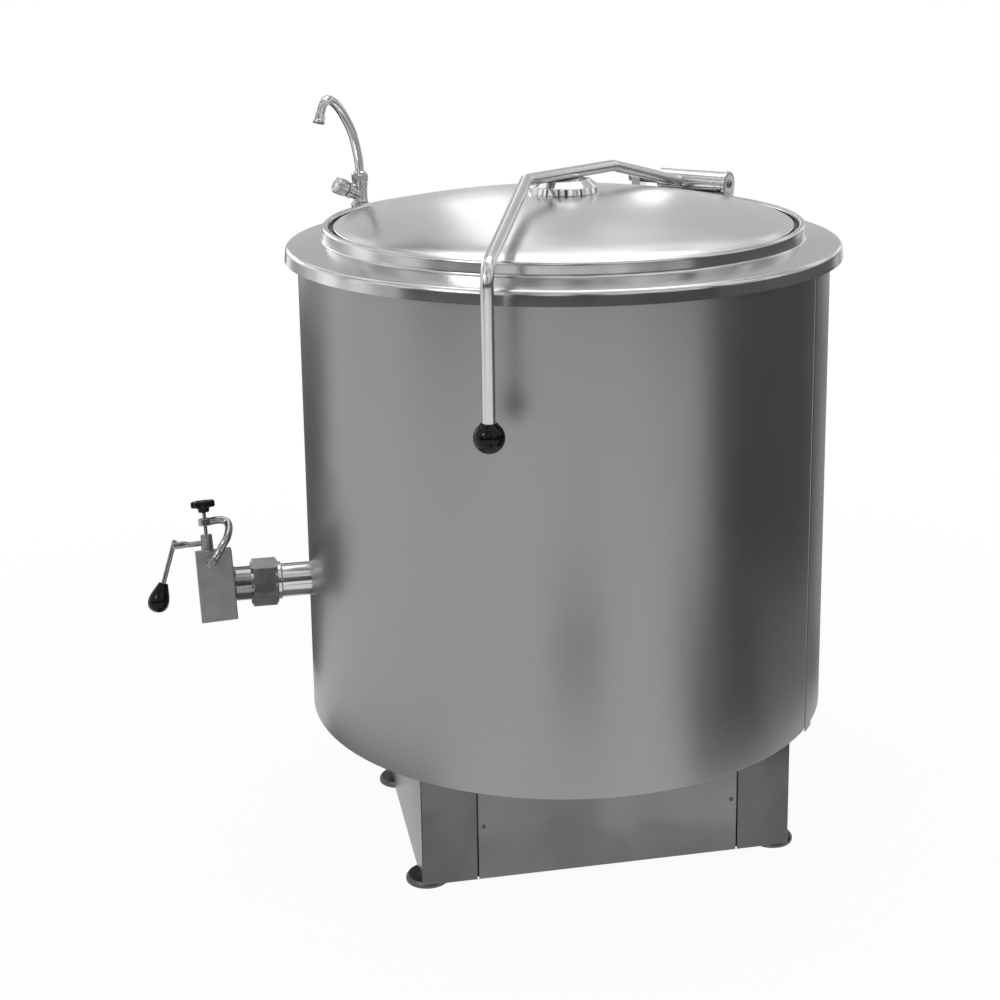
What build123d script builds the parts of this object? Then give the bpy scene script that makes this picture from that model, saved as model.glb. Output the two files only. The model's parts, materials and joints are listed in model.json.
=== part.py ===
import os
from math import cos, radians, sin, sqrt

from build123d import *

# Lengths in mm. The kettle axis is X = Y = 0 and the floor is Z = 0 until the last step.
# Azimuths count from the front (-Y) towards +X.

# General
GAP = 0.3
RUN = 0.05

# Bowl: its radius and the height of its flange drive what lies round it and on it
BOWL_R = 330.0
BOWL_SHEET = 3.0
BOWL_FLANGE_TOP = 900.0
BOWL_KNUCKLE = 70.0
BOWL_DEPTH = 112.0
DISH_Z = 470.0

# Steam jacket and insulation
STEAM_SPACE = 20.0
JACKET_R = BOWL_R + STEAM_SPACE
JACKET_SHEET = 3.0
JACKET_TOP = 640.0
JACKET_KNUCKLE = BOWL_KNUCKLE + 18.0
JACKET_DEPTH = BOWL_DEPTH + 28.0
JACKET_LOW = DISH_Z - JACKET_DEPTH
WOOL_SPACE = 50.0
WOOL_MARGIN = 13.0
WOOL_BOTTOM = JACKET_LOW
WOOL_TOP = BOWL_FLANGE_TOP - 40.0

# Casing
CASING_R = JACKET_R + WOOL_SPACE
CASING_SHEET = 1.5
CASING_BOTTOM = 175.0
PANEL_HALF_ANGLE = 38.5
PANEL_SEAM = 0.7
SEAM_FLANGE = 12.0
FLOOR_SHEET = 3.0
FLOOR_UPSTAND = 22.0
TONGUE_DROP = 6.5
TONGUE_ANGLE = 4.0
TONGUE_START = 0.4
WOOL_OUTER_R = CASING_R - WOOL_MARGIN
SKIRT_R = 220.0
SKIRT_SHEET = 4.0
SKIRT_WINDOW = 150.0
SKIRT_WINDOW_TOP = CASING_BOTTOM + 125.0

# Top rim: collar on the bowl's flange, sloping plate, lip over the casing
RIM_SHEET = 2.5
COLLAR_INSET = 22.0
COLLAR_WIDTH = 10.5
COLLAR_RISE = 25.0
COLLAR_ROUND = 3.5
COLLAR_INNER_R = BOWL_R + COLLAR_INSET
COLLAR_OUTER_R = COLLAR_INNER_R + COLLAR_WIDTH
COLLAR_TOP = BOWL_FLANGE_TOP + COLLAR_RISE
PLATE_STEP = 3.5
PLATE_RISE = 4.0
PLATE_FALL = 7.0
PLATE_INNER_R = COLLAR_OUTER_R + PLATE_STEP
PLATE_INNER_Z = BOWL_FLANGE_TOP + PLATE_RISE
PLATE_OUTER_Z = PLATE_INNER_Z - PLATE_FALL
LIP_OVERHANG = 18.8
LIP_ROLL = 8.8
LIP_FALL = 6.0
LIP_HEIGHT = 15.0
LIP_R = CASING_R + LIP_OVERHANG
PLATE_OUTER_R = LIP_R - LIP_ROLL
LIP_TOP = PLATE_OUTER_Z - LIP_FALL
LIP_BOTTOM = LIP_TOP - LIP_HEIGHT
CASING_TOP = PLATE_OUTER_Z - 1.6

# Service fittings
STEAM_X = 150.0
STEAM_Y = 250.0
STEAM_PIPE_R = 16.85
STEAM_BORE_R = 13.6
STEAM_THREAD_R = 16.6
SERVICE_END_Z = CASING_BOTTOM - 35.0
SERVICE_THREAD = 24.0
THREAD_GROOVE = 3.0
THREAD_GROOVE_DEPTH = 1.2
DRIP_Y = 236.0
DRIP_PIPE_R = 10.65
DRIP_BORE_R = 8.0
DRIP_THREAD_R = 10.45
DRIP_RUN_Z = CASING_BOTTOM + 65.0
DRIP_BEND = 30.0
RELIEF_Z = JACKET_TOP - 80.0
RELIEF_OUT = 23.0
RELIEF_R = JACKET_R + RELIEF_OUT
RELIEF_BODY_R = 13.0
RELIEF_HEIGHT = 95.0
RELIEF_STUB_R = 9.0
RELIEF_BORE_R = 6.0
WOOL_CUT_HALF = 32.0
WOOL_CUT_HEIGHT = 170.0

# Lid: it stands inside the collar on its seal
LID_CLEARANCE = 6.0
LID_SHEET = 2.0
LID_LIFT = 6.0
LID_SKIRT = 15.1
LID_RISE = 39.2
LID_SHOULDER = 5.8
LID_HEM = 12.0
LID_R = COLLAR_INNER_R - LID_CLEARANCE
LID_SKIRT_BOTTOM = BOWL_FLANGE_TOP + LID_LIFT
LID_EDGE_Z = LID_SKIRT_BOTTOM + LID_SKIRT
DOME_TOP = LID_EDGE_Z + LID_RISE + LID_SHOULDER
SEAL_WIDTH = 9.0
SEAL_OUTER_R = LID_R - LID_SHEET
SEAL_INNER_R = SEAL_OUTER_R - SEAL_WIDTH
BOSS_FOOT_R = 54.0
BOSS_SHOULDER_R = 52.0
BOSS_SHOULDER_Z = DOME_TOP + 10.9
BOSS_TOP_R = 40.0
BOSS_TOP_Z = DOME_TOP + 20.4
BOSS_WALL = 6.0
BOSS_BOLT_R = 6.0
BOSS_BOLT_HEAD_R = 10.0
BOSS_BOLT_HEAD = 7.0

# Hinge, measured along and across its axis: its tube stands off the collar's corner
HINGE_TUBE_R = 19.0
HINGE_CORNER_GAP = 0.4486
HINGE_CORNER_ANGLE = 46.042
HINGE_STAND_OFF = HINGE_TUBE_R + HINGE_CORNER_GAP
HINGE_RHO = COLLAR_OUTER_R + HINGE_STAND_OFF * cos(radians(HINGE_CORNER_ANGLE))
HINGE_Z = COLLAR_TOP + HINGE_STAND_OFF * sin(radians(HINGE_CORNER_ANGLE))
HINGE_TUBE_WALL = 3.0
HINGE_TUBE_BORE = HINGE_TUBE_R - HINGE_TUBE_WALL
HINGE_BUSH = 10.0
HINGE_TUBE_START = -43.0
HINGE_TUBE_END = 79.0
SHAFT_R = 8.0
END_BOSS_R = HINGE_TUBE_R + 1.5
END_BOSS_WIDTH = 6.0
END_BOSS_START = HINGE_TUBE_END + GAP
END_BOSS_END = END_BOSS_START + END_BOSS_WIDTH
LUG_END = -79.0
LUG_WIDTH = 16.0
LUG_START = LUG_END - LUG_WIDTH
LUG_HALF = SHAFT_R + 5.0
SHAFT_START = LUG_START - 9.0
BRACKET_RHO_IN = HINGE_RHO - 9.0
BRACKET_RHO_OUT = HINGE_RHO + 15.0
BRACKET_TOP = PLATE_INNER_Z + 7.0
BRACKET_SCREW_S = (-40.0, 25.0)
BRACKET_SCREW_R = 3.0
BRACKET_SCREW_HEAD_R = 5.5
BRACKET_SCREW_HEAD = 3.0
BRACKET_SCREW_LENGTH = 20.0
END_SCREW_R = 7.0
END_SCREW_HEAD = 3.0
SPRING_WIRE_R = 1.5
SPRING_R = HINGE_TUBE_BORE - SPRING_WIRE_R - GAP
SPRING_PITCH = 7.0
SPRING_START = HINGE_TUBE_START + 15.0
SPRING_END = HINGE_TUBE_END - 17.0

# Lever bar and ball
BAR_R = 9.0
BAR_START = 12.0
BAR_PEAK = (102.0, 102.0, DOME_TOP + 23.9)
BAR_FRONT_BEND = (-71.5, -74.0, DOME_TOP + 29.9)
BAR_REACH = CASING_R + 86.02
BAR_AZIMUTH = -23.886
BAR_DROP_Z = HINGE_Z
BAR_ROUND = 30.0
BALL_DROP = 221.0
BALL_R = 21.0
BALL_NECK_R = 12.0
BALL_BORE = 8.0
BALL_Z = BAR_DROP_Z - BALL_DROP

# Tap, on the plate behind on the left
TAP_STEP = 18.07
TAP_AZIMUTH = 226.371
TAP_RHO = PLATE_INNER_R + TAP_STEP
TAP_X = TAP_RHO * sin(radians(TAP_AZIMUTH))
TAP_Y = -TAP_RHO * cos(radians(TAP_AZIMUTH))
TAP_BASE_R = 19.0
TAP_BASE_NECK_R = 15.0
TAP_BASE_Z = PLATE_INNER_Z - 3.0
TAP_BASE_TOP = TAP_BASE_Z + 21.0
SHANK_R = 10.0
SHANK_LOW = TAP_BASE_Z - 29.0
WATER_PIPE_R = 6.0
WATER_BORE_R = 5.0
WATER_THREAD_R = 10.45
WATER_SOCKET = 15.0
TAP_BODY_R = 12.3
TAP_BODY_TOP = TAP_BASE_TOP + 35.0
TAP_NUT_FLATS = 25.0
TAP_NUT_TOP = TAP_BODY_TOP + 12.0
SPOUT_R = 7.2
SPOUT_WALL = 1.2
SPOUT_BORE_R = SPOUT_R - SPOUT_WALL
SPOUT_AZIMUTH = -42.0
SPOUT_FOOT_Z = TAP_BODY_TOP - 6.0
SPOUT_PATH = (
    (0.0, 19.0), (5.5, 48.5), (16.0, 77.5), (33.5, 103.5), (53.0, 124.5),
    (69.0, 134.5), (80.0, 137.0), (89.5, 132.0), (98.9, 116.1),
)
OUTLET_R = SPOUT_R + 2.3
OUTLET_LENGTH = 14.0
KNOB_AZIMUTH = -66.0
KNOB_RISE = 24.5
KNOB_Z = TAP_BODY_TOP - 22.0
KNOB_START = 27.5
KNOB_LENGTH = 22.5
BONNET_R = 11.0
KNOB_R = 13.75
KNOB_FLUTES = 8
KNOB_FLUTE_R = 3.5
KNOB_FLUTE_STEP = 1.9
KNOB_FLUTE_START = 4.0
SPINDLE_R = 5.0
SPINDLE_START = 13.0
SPINDLE_GRIP = 12.0

# Drain line along -X
DRAIN_RISE = 28.0
DRAIN_Z = DISH_Z - BOWL_DEPTH + DRAIN_RISE
PIPE_R = 25.5
PIPE_WALL = 3.5
PIPE_BORE_R = PIPE_R - PIPE_WALL
LINER_FLANGE_R = PIPE_R + 3.0
LINER_FLANGE = 4.0
UNION_R = LINER_FLANGE_R + 0.15
UNION_LENGTH = 30.0
NUT_WALL = 2.85
NUT_FLATS = 2 * (UNION_R + NUT_WALL)
NUT_TURN = 28.0
NUT_OUT = 49.0
NUT_LENGTH = 40.5
NUT_LIP = 5.0
NUT_END = -CASING_R - NUT_OUT
NUT_START = NUT_END - NUT_LENGTH

# Valve, in a frame turned about the drain line
VALVE_OUT = 51.5
VALVE_X = NUT_START - VALVE_OUT
VALVE_LEAN = 13.5
VALVE_TILT = 2.5
BODY_HALF = 27.0
BODY_LOW = -51.0
BODY_HIGH = 53.0
BODY_ROUND = 2.0
PLUG_X = -8.0
PLUG_TOP_R = 16.5
PLUG_LOW_R = 14.5
PLUG_LOW = BODY_LOW + 5.0
PORT_R = 10.0
PLUG_BORE_R = 11.0
PORT_TOP = 14.0
STEM_LOW_R = 9.2
STEM_TOP_R = 8.6
STEM_TOP = BODY_HIGH + 25.4
ARM_Z = BODY_HIGH + 13.0
ARM_R = 4.0
ARM_FLAT_START = 32.0
ARM_FLAT_END = 51.0
ARM_FLAT = (7.5, 10.0)
GRIP_BAR_R = 3.5
GRIP_BAR_TOP = (-56.5, ARM_Z + 5.0)
GRIP_BAR_LOW = (-77.5, ARM_Z - 53.0)
PEAR_GRIP = 12.0
PEAR_PROFILE = (
    (7.0, 0.0), (9.2, 6.0), (13.4, 17.0), (15.6, 28.0), (13.6, 37.5), (7.5, 43.0), (0.0, 44.5))

# Clamp
PIVOT_X = -3.3
PIVOT_Z = BODY_HIGH - 14.5
PIVOT_R = 8.5
PIVOT_WIDTH = 12.2
PIVOT_BOLT_R = 4.0
PIVOT_BOLT_HEAD_R = 6.5
PIVOT_BOLT_HEAD = 4.0
PIVOT_FACE = -BODY_HALF - GAP - PIVOT_WIDTH
PIVOT_Y = -BODY_HALF - 6.6
CLAMP_ROD_R = 5.8
CLAMP_PATH = (
    (6.1, PIVOT_Y, PIVOT_Z + 11.0), (14.2, PIVOT_Y - 0.1, PIVOT_Z + 23.3),
    (20.4, PIVOT_Y + 1.6, PIVOT_Z + 32.0), (24.9, PIVOT_Y + 11.1, PIVOT_Z + 41.0),
    (26.6, -10.5, PIVOT_Z + 49.5), (24.0, -3.0, PIVOT_Z + 56.0), (17.5, -0.5, PIVOT_Z + 59.0),
)
EYE_R = 9.5
EYE_LOW = PIVOT_Z + 53.5
EYE_HIGH = EYE_LOW + 11.0
SCREW_X = PLUG_X
SCREW_R = 3.0
SCREW_TIP = STEM_TOP + 0.4
STAR_HUB_LOW = EYE_HIGH + 9.0
STAR_LOW = STAR_HUB_LOW + 7.5
STAR_HIGH = STAR_LOW + 10.5
STAR_R = 18.5
STAR_LOBES = 7
STAR_NOTCH_R = 4.0
STAR_NOTCH_STEP = 0.6
STAR_HUB_R = 8.7

# Plinth
PLINTH_HALF = 276.0
PLINTH_FRONT = -288.0
PLINTH_REAR = 90.0
PLINTH_LOW = 11.0
PLINTH_TOP = CASING_BOTTOM - GAP
COVER_SHEET = 1.5
SEAM_X = 195.0
SEAM_HALF = 0.75
FRAME_TUBE = 25.0
FRAME_WALL = 2.0
GUSSET = 5.0
GUSSET_LOW = PLINTH_LOW + 5.0
GUSSET_SIZE = 62.0
PANEL_SCREW_X = SEAM_X - 9.0
PANEL_SCREW_Z = 93.0
SCREW_HEAD_R = 3.0
SCREW_HEAD = 1.2
SCREW_SHANK_R = 1.9
SCREW_SHANK = 8.0
FOOT_X = PLINTH_HALF - 13.0
FOOT_FRONT_Y = PLINTH_FRONT + 40.0
FOOT_REAR_Y = PLINTH_REAR - 15.0
FOOT_R = 32.0
FOOT_PAD = 9.0
FOOT_STEM_R = 6.0
FOOT_STEM_TOP = 60.0
FOOT_BUSH_R = FOOT_STEM_R + 4.0
FOOT_BUSH_HEIGHT = 20.0
FOOT_TRAVEL = 25.0
TAB_HALF = 12.0
TAB_DEPTH = 5.0



def ring(points):
    """Turn a closed outline given as (radius, height) about the kettle axis."""
    outline = Plane.XZ * make_face(Polyline(*points, close=True))
    return revolve(outline, Axis.Z)


def thin_ring(path, thickness, bend):
    """Turn a sheet of even thickness, drawn by its middle line, about the kettle axis."""
    profile = Plane.XZ * trace(FilletPolyline(*path, radius=bend), thickness)
    return revolve(profile, Axis.Z)


def tank(radius, knuckle, depth, top):
    """A solid tank: a dished bottom of crown and knuckle arcs below a cylinder of the given height."""
    inset = radius - knuckle
    crown = (inset**2 + depth**2 - knuckle**2) / (2 * (depth - knuckle))
    bottom = Vector(0, DISH_Z - depth)
    crown_centre = Vector(0, DISH_Z - depth + crown)
    knuckle_centre = Vector(inset, DISH_Z)
    outward = (knuckle_centre - crown_centre).normalized()
    meeting = crown_centre + outward * crown
    crown_middle = crown_centre + (outward + Vector(0, -1)).normalized() * crown
    knuckle_middle = knuckle_centre + (outward + Vector(1, 0)).normalized() * knuckle
    profile = Plane.XZ * make_face([
        ThreePointArc(bottom, crown_middle, meeting),
        ThreePointArc(meeting, knuckle_middle, (radius, DISH_Z)),
        Polyline((radius, DISH_Z), (radius, top), (0, top), bottom),
    ])
    return revolve(profile, Axis.Z)


def rod(start, end, radius):
    """A straight round bar between two points."""
    start = Vector(*start)
    end = Vector(*end)
    place = Plane(origin=start, z_dir=end - start)
    return place * Cylinder(radius, (end - start).length, align=(Align.CENTER, Align.CENTER, Align.MIN))


def upright(radius, low, high, x=0.0, y=0.0):
    """An upright cylinder."""
    return rod((x, y, low), (x, y, high), radius)


def cone(low_radius, high_radius, low, high, x=0.0, y=0.0):
    """An upright truncated cone."""
    body = Cone(low_radius, high_radius, high - low, align=(Align.CENTER, Align.CENTER, Align.MIN))
    return Pos(x, y, low) * body


def block(low, high):
    """A box from its low corner to its high corner."""
    low = Vector(*low)
    high = Vector(*high)
    size = high - low
    return Pos(low + size * 0.5) * Box(size.X, size.Y, size.Z)


def bent_bar(path, radius):
    """A round bar swept along a wire."""
    section = Plane(origin=path @ 0, z_dir=path % 0) * Circle(radius)
    return sweep(section, path, transition=Transition.ROUND)


def direction(azimuth, rise=0.0):
    """Unit vector at an azimuth from the front and a rise above level."""
    level = cos(radians(rise))
    return Vector(sin(radians(azimuth)) * level, -cos(radians(azimuth)) * level, sin(radians(rise)))


pieces = {}

# Casing: the panel is centred on +X, the shell covers the rest
shell_profile = [
    (CASING_R - CASING_SHEET, CASING_BOTTOM), (CASING_R, CASING_BOTTOM),
    (CASING_R, CASING_TOP), (CASING_R - CASING_SHEET, CASING_TOP),
]


def casing_sector(start, arc):
    """Part of the round sheet, from a start angle on."""
    outline = Plane.XZ * make_face(Polyline(*shell_profile, close=True))
    return Rot(0, 0, start) * revolve(outline, Axis.Z, revolution_arc=arc)


def both_sides(low, high):
    """Order two Y values for a block."""
    return (min(low, high), max(low, high))


def flange_at(angle, side):
    """A seam flange with its thickness laid to one side of the seam."""
    height = CASING_TOP - CASING_BOTTOM - 2 * FLOOR_UPSTAND
    low = CASING_BOTTOM + FLOOR_UPSTAND + 1
    near, far = both_sides(0, side * CASING_SHEET)
    strip = block((CASING_R - SEAM_FLANGE, near, low), (CASING_R - CASING_SHEET / 2, far, low + height))
    return Rot(0, 0, angle) * strip


seam_angle = PANEL_SEAM / CASING_R * 57.2958
panel = casing_sector(-PANEL_HALF_ANGLE, 2 * PANEL_HALF_ANGLE)
panel += flange_at(-PANEL_HALF_ANGLE, 1)
panel += flange_at(PANEL_HALF_ANGLE, -1)
tongue_outline = Plane.XZ * make_face(Polyline(
    (CASING_R - CASING_SHEET, CASING_BOTTOM - TONGUE_DROP), (CASING_R, CASING_BOTTOM - TONGUE_DROP),
    (CASING_R, CASING_BOTTOM + 1), (CASING_R - CASING_SHEET, CASING_BOTTOM + 1), close=True))
panel += Rot(0, 0, -PANEL_HALF_ANGLE + TONGUE_START) * revolve(
    tongue_outline, Axis.Z, revolution_arc=TONGUE_ANGLE)
shell = casing_sector(PANEL_HALF_ANGLE + seam_angle, 360 - 2 * PANEL_HALF_ANGLE - 2 * seam_angle)
shell += flange_at(PANEL_HALF_ANGLE + seam_angle, 1)
shell += flange_at(-PANEL_HALF_ANGLE - seam_angle, -1)
shell -= rod((-CASING_R - 5, 0, DRAIN_Z), (-CASING_R + 15, 0, DRAIN_Z), PIPE_R + GAP)

floor_outer = CASING_R - CASING_SHEET
casing_floor = ring([
    (0, CASING_BOTTOM), (floor_outer, CASING_BOTTOM), (floor_outer, CASING_BOTTOM + FLOOR_UPSTAND),
    (floor_outer - FLOOR_SHEET, CASING_BOTTOM + FLOOR_UPSTAND),
    (floor_outer - FLOOR_SHEET, CASING_BOTTOM + FLOOR_SHEET), (0, CASING_BOTTOM + FLOOR_SHEET),
])
casing_floor -= upright(STEAM_PIPE_R + GAP, CASING_BOTTOM - 1, CASING_BOTTOM + 5, STEAM_X, STEAM_Y)
casing_floor -= upright(DRIP_PIPE_R + GAP, CASING_BOTTOM - 1, CASING_BOTTOM + 5, 0, DRIP_Y)
casing_floor -= upright(WATER_PIPE_R + GAP, CASING_BOTTOM - 1, CASING_BOTTOM + 5, TAP_X, TAP_Y)

# Screws that hold the panel to the floor's upstand
screw_z = CASING_BOTTOM + FLOOR_UPSTAND / 2
panel_screws = []
for azimuth in (84.0, 122.0):
    outward = direction(azimuth)
    seat = outward * (CASING_R + 0.05)
    shank_end = outward * (CASING_R - SCREW_SHANK)
    lift = Vector(0, 0, screw_z)
    shank = rod(seat + lift, shank_end + lift, SCREW_SHANK_R)
    head = rod(seat + lift, outward * (CASING_R + SCREW_HEAD) + lift, SCREW_HEAD_R)
    hole = rod(
        outward * (CASING_R + 3) + lift, outward * (CASING_R - SCREW_SHANK - 3) + lift, SCREW_SHANK_R + RUN)
    panel -= hole
    casing_floor -= hole
    panel_screws.append(shank + head)

# Top rim: lip, sloping plate and raised collar in one sheet
collar_path = [
    (COLLAR_INNER_R + RIM_SHEET / 2, BOWL_FLANGE_TOP + 0.05),
    (COLLAR_INNER_R + RIM_SHEET / 2, COLLAR_TOP - RIM_SHEET / 2),
    (COLLAR_OUTER_R - RIM_SHEET / 2, COLLAR_TOP - RIM_SHEET / 2),
    (COLLAR_OUTER_R - RIM_SHEET / 2 + 0.6, PLATE_INNER_Z - RIM_SHEET / 2 + 0.8),
    (PLATE_OUTER_R + 5.5, PLATE_OUTER_Z - RIM_SHEET / 2 - 0.9),
    (LIP_R - RIM_SHEET / 2, LIP_TOP - 1.0),
    (LIP_R - RIM_SHEET / 2, LIP_BOTTOM),
]
top_rim = thin_ring(collar_path, RIM_SHEET, COLLAR_ROUND)

# Bowl, jacket and insulation
bowl_outer = tank(BOWL_R + BOWL_SHEET, BOWL_KNUCKLE + BOWL_SHEET, BOWL_DEPTH + BOWL_SHEET, BOWL_FLANGE_TOP)
bowl = bowl_outer + upright(COLLAR_INNER_R + RIM_SHEET, BOWL_FLANGE_TOP - BOWL_SHEET, BOWL_FLANGE_TOP)
bowl -= tank(BOWL_R, BOWL_KNUCKLE, BOWL_DEPTH, BOWL_FLANGE_TOP + 1)
bowl -= rod((-CASING_R, 0, DRAIN_Z), (0, 0, DRAIN_Z), PIPE_BORE_R)
jacket_outer = tank(JACKET_R, JACKET_KNUCKLE, JACKET_DEPTH, JACKET_TOP)
jacket = jacket_outer - tank(
    JACKET_R - JACKET_SHEET, JACKET_KNUCKLE - JACKET_SHEET, JACKET_DEPTH - JACKET_SHEET,
    JACKET_TOP - JACKET_SHEET)
jacket -= upright(BOWL_R + BOWL_SHEET, JACKET_TOP - 3 * JACKET_SHEET, JACKET_TOP + 5)
jacket -= rod((-CASING_R, 0, DRAIN_Z), (0, 0, DRAIN_Z), PIPE_R)
jacket -= upright(STEAM_BORE_R, JACKET_LOW, DISH_Z, STEAM_X, STEAM_Y)
jacket -= upright(DRIP_BORE_R, JACKET_LOW - 5, JACKET_LOW + 5)
jacket -= rod((JACKET_R - 10, 0, RELIEF_Z), (JACKET_R + 5, 0, RELIEF_Z), RELIEF_BORE_R)
wool = ring([
    (JACKET_R + GAP, WOOL_BOTTOM), (WOOL_OUTER_R, WOOL_BOTTOM),
    (WOOL_OUTER_R, WOOL_TOP), (JACKET_R + GAP, WOOL_TOP),
])
wool -= rod((-CASING_R, 0, DRAIN_Z), (0, 0, DRAIN_Z), PIPE_R + GAP)
wool -= upright(WATER_PIPE_R + GAP, WOOL_BOTTOM - 1, WOOL_TOP + 1, TAP_X, TAP_Y)
wool_cut_low = RELIEF_Z - WOOL_CUT_HALF
wool -= block((JACKET_R - 60, -WOOL_CUT_HALF, wool_cut_low),
              (CASING_R, WOOL_CUT_HALF, wool_cut_low + WOOL_CUT_HEIGHT))
skirt = ring([
    (SKIRT_R - SKIRT_SHEET, CASING_BOTTOM + FLOOR_SHEET), (SKIRT_R, CASING_BOTTOM + FLOOR_SHEET),
    (SKIRT_R, DISH_Z - 40), (SKIRT_R - SKIRT_SHEET, DISH_Z - 40),
])
skirt -= jacket_outer
skirt -= rod((-CASING_R, 0, DRAIN_Z), (0, 0, DRAIN_Z), PIPE_R + GAP)
for angle in (0, 90, 180, 270):
    window = block((SKIRT_R - 40, -SKIRT_WINDOW / 2, CASING_BOTTOM + 30),
                   (SKIRT_R + 20, SKIRT_WINDOW / 2, SKIRT_WINDOW_TOP))
    skirt -= Rot(0, 0, angle) * window


# Service pipes that leave through the floor behind the plinth
def thread_end(pipe_r, thread_r, x, y):
    """What is turned off a pipe's lower end: a thread as a plain cylinder, and the groove above it."""
    groove_low = SERVICE_END_Z + SERVICE_THREAD
    groove_high = groove_low + THREAD_GROOVE
    cut = upright(pipe_r + 1, SERVICE_END_Z - 1, groove_low, x, y) - upright(
        thread_r, SERVICE_END_Z - 2, groove_low + 1, x, y)
    return cut + upright(pipe_r + 1, groove_low, groove_high, x, y) - upright(
        thread_r - THREAD_GROOVE_DEPTH, SERVICE_END_Z - 2, groove_high + 1, x, y)


steam_pipe = upright(STEAM_PIPE_R, SERVICE_END_Z, DISH_Z - 40, STEAM_X, STEAM_Y)
steam_pipe -= jacket_outer
steam_pipe -= upright(STEAM_BORE_R, SERVICE_END_Z - 5, DISH_Z, STEAM_X, STEAM_Y)
steam_pipe -= thread_end(STEAM_PIPE_R, STEAM_THREAD_R, STEAM_X, STEAM_Y)
drip_path = FilletPolyline(
    (0, 0, JACKET_LOW), (0, 0, DRIP_RUN_Z), (0, DRIP_Y, DRIP_RUN_Z), (0, DRIP_Y, SERVICE_END_Z),
    radius=DRIP_BEND)
drip_pipe = bent_bar(drip_path, DRIP_PIPE_R) - bent_bar(drip_path, DRIP_BORE_R)
drip_pipe -= thread_end(DRIP_PIPE_R, DRIP_THREAD_R, 0, DRIP_Y)
relief = rod((JACKET_R, 0, RELIEF_Z), (RELIEF_R, 0, RELIEF_Z), RELIEF_STUB_R)
relief += upright(RELIEF_BODY_R, RELIEF_Z - 15, RELIEF_Z + RELIEF_HEIGHT - 15, RELIEF_R)
relief += upright(RELIEF_BODY_R - 3, RELIEF_Z + RELIEF_HEIGHT - 16, RELIEF_Z + RELIEF_HEIGHT, RELIEF_R)
relief -= rod((JACKET_R - 1, 0, RELIEF_Z), (RELIEF_R, 0, RELIEF_Z), RELIEF_BORE_R)
relief -= jacket_outer


# Lid: the height falls with the radius as in the measured dome
def lid_height(radius):
    """Top of the lid at a radius."""
    share = radius / LID_R
    return LID_EDGE_Z + LID_RISE * (1 - share**2) + LID_SHOULDER * (1 - share**24)


dome_shares = [0, 0.17, 0.35, 0.52, 0.66, 0.78, 0.85, 0.91, 0.954, 0.98]
dome_top = [(share * LID_R, lid_height(share * LID_R)) for share in dome_shares]
dome_top.append((LID_R - 1.5, LID_EDGE_Z + 1.3))
dome_low = [(radius, height - LID_SHEET) for radius, height in dome_top[:-1]]
dome_low.append((LID_R - LID_SHEET - 0.8, LID_EDGE_Z - 0.6))
top_curve = Spline(*dome_top, tangents=[(1, 0), (0.5, -1)])
low_curve = Spline(*dome_low, tangents=[(1, 0), (0.5, -1)])
hem_top = LID_SKIRT_BOTTOM + LID_SHEET
lid_edge = Polyline(
    dome_top[-1], (LID_R, LID_EDGE_Z - 0.5), (LID_R, LID_SKIRT_BOTTOM), (LID_R - LID_HEM, LID_SKIRT_BOTTOM),
    (LID_R - LID_HEM, hem_top), (LID_R - LID_SHEET, hem_top), (LID_R - LID_SHEET, LID_EDGE_Z - 3),
    dome_low[-1])
lid_axis = Line(dome_low[0], dome_top[0])
lid_profile = Plane.XZ * make_face([top_curve, lid_edge, low_curve, lid_axis])
lid_shell = revolve(lid_profile, Axis.Z)
bolt_hole = upright(BOSS_BOLT_R + RUN, LID_SKIRT_BOTTOM, BOSS_TOP_Z + 10)
lid_shell -= bolt_hole
lid_seal = ring([
    (SEAL_INNER_R, BOWL_FLANGE_TOP + GAP), (SEAL_OUTER_R, BOWL_FLANGE_TOP + GAP),
    (SEAL_OUTER_R, LID_SKIRT_BOTTOM), (SEAL_INNER_R, LID_SKIRT_BOTTOM),
])
dome_cut_curve = Spline(*dome_top, tangents=[(1, 0), (0.5, -1)])
dome_cut_profile = Plane.XZ * make_face([
    dome_cut_curve, Polyline(dome_top[-1], (dome_top[-1][0], LIP_BOTTOM), (0, LIP_BOTTOM), dome_top[0])])
dome_cut = revolve(dome_cut_profile, Axis.Z)
boss_low = DOME_TOP - 16
boss = ring([
    (0, boss_low), (BOSS_FOOT_R, boss_low), (BOSS_FOOT_R, DOME_TOP + 0.9), (BOSS_SHOULDER_R, BOSS_SHOULDER_Z),
    (BOSS_TOP_R, BOSS_TOP_Z), (0, BOSS_TOP_Z),
])
boss -= cone(BOSS_FOOT_R - BOSS_WALL, BOSS_TOP_R - BOSS_WALL, boss_low, BOSS_TOP_Z - BOSS_WALL)
boss += upright(BOSS_BOLT_HEAD_R + 2, boss_low + 5, BOSS_TOP_Z - 1)
boss -= bolt_hole
boss -= dome_cut

# Lever bar from the hinge tube over the boss to the ball
hinge_along = Vector(sqrt(0.5), -sqrt(0.5), 0)
hinge_across = Vector(sqrt(0.5), sqrt(0.5), 0)
hinge_centre = hinge_across * HINGE_RHO + Vector(0, 0, HINGE_Z)


def hinge_point(along, across=HINGE_RHO, height=HINGE_Z):
    """A point given along the hinge axis, across it and by height."""
    return hinge_along * along + hinge_across * across + Vector(0, 0, height)


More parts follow.
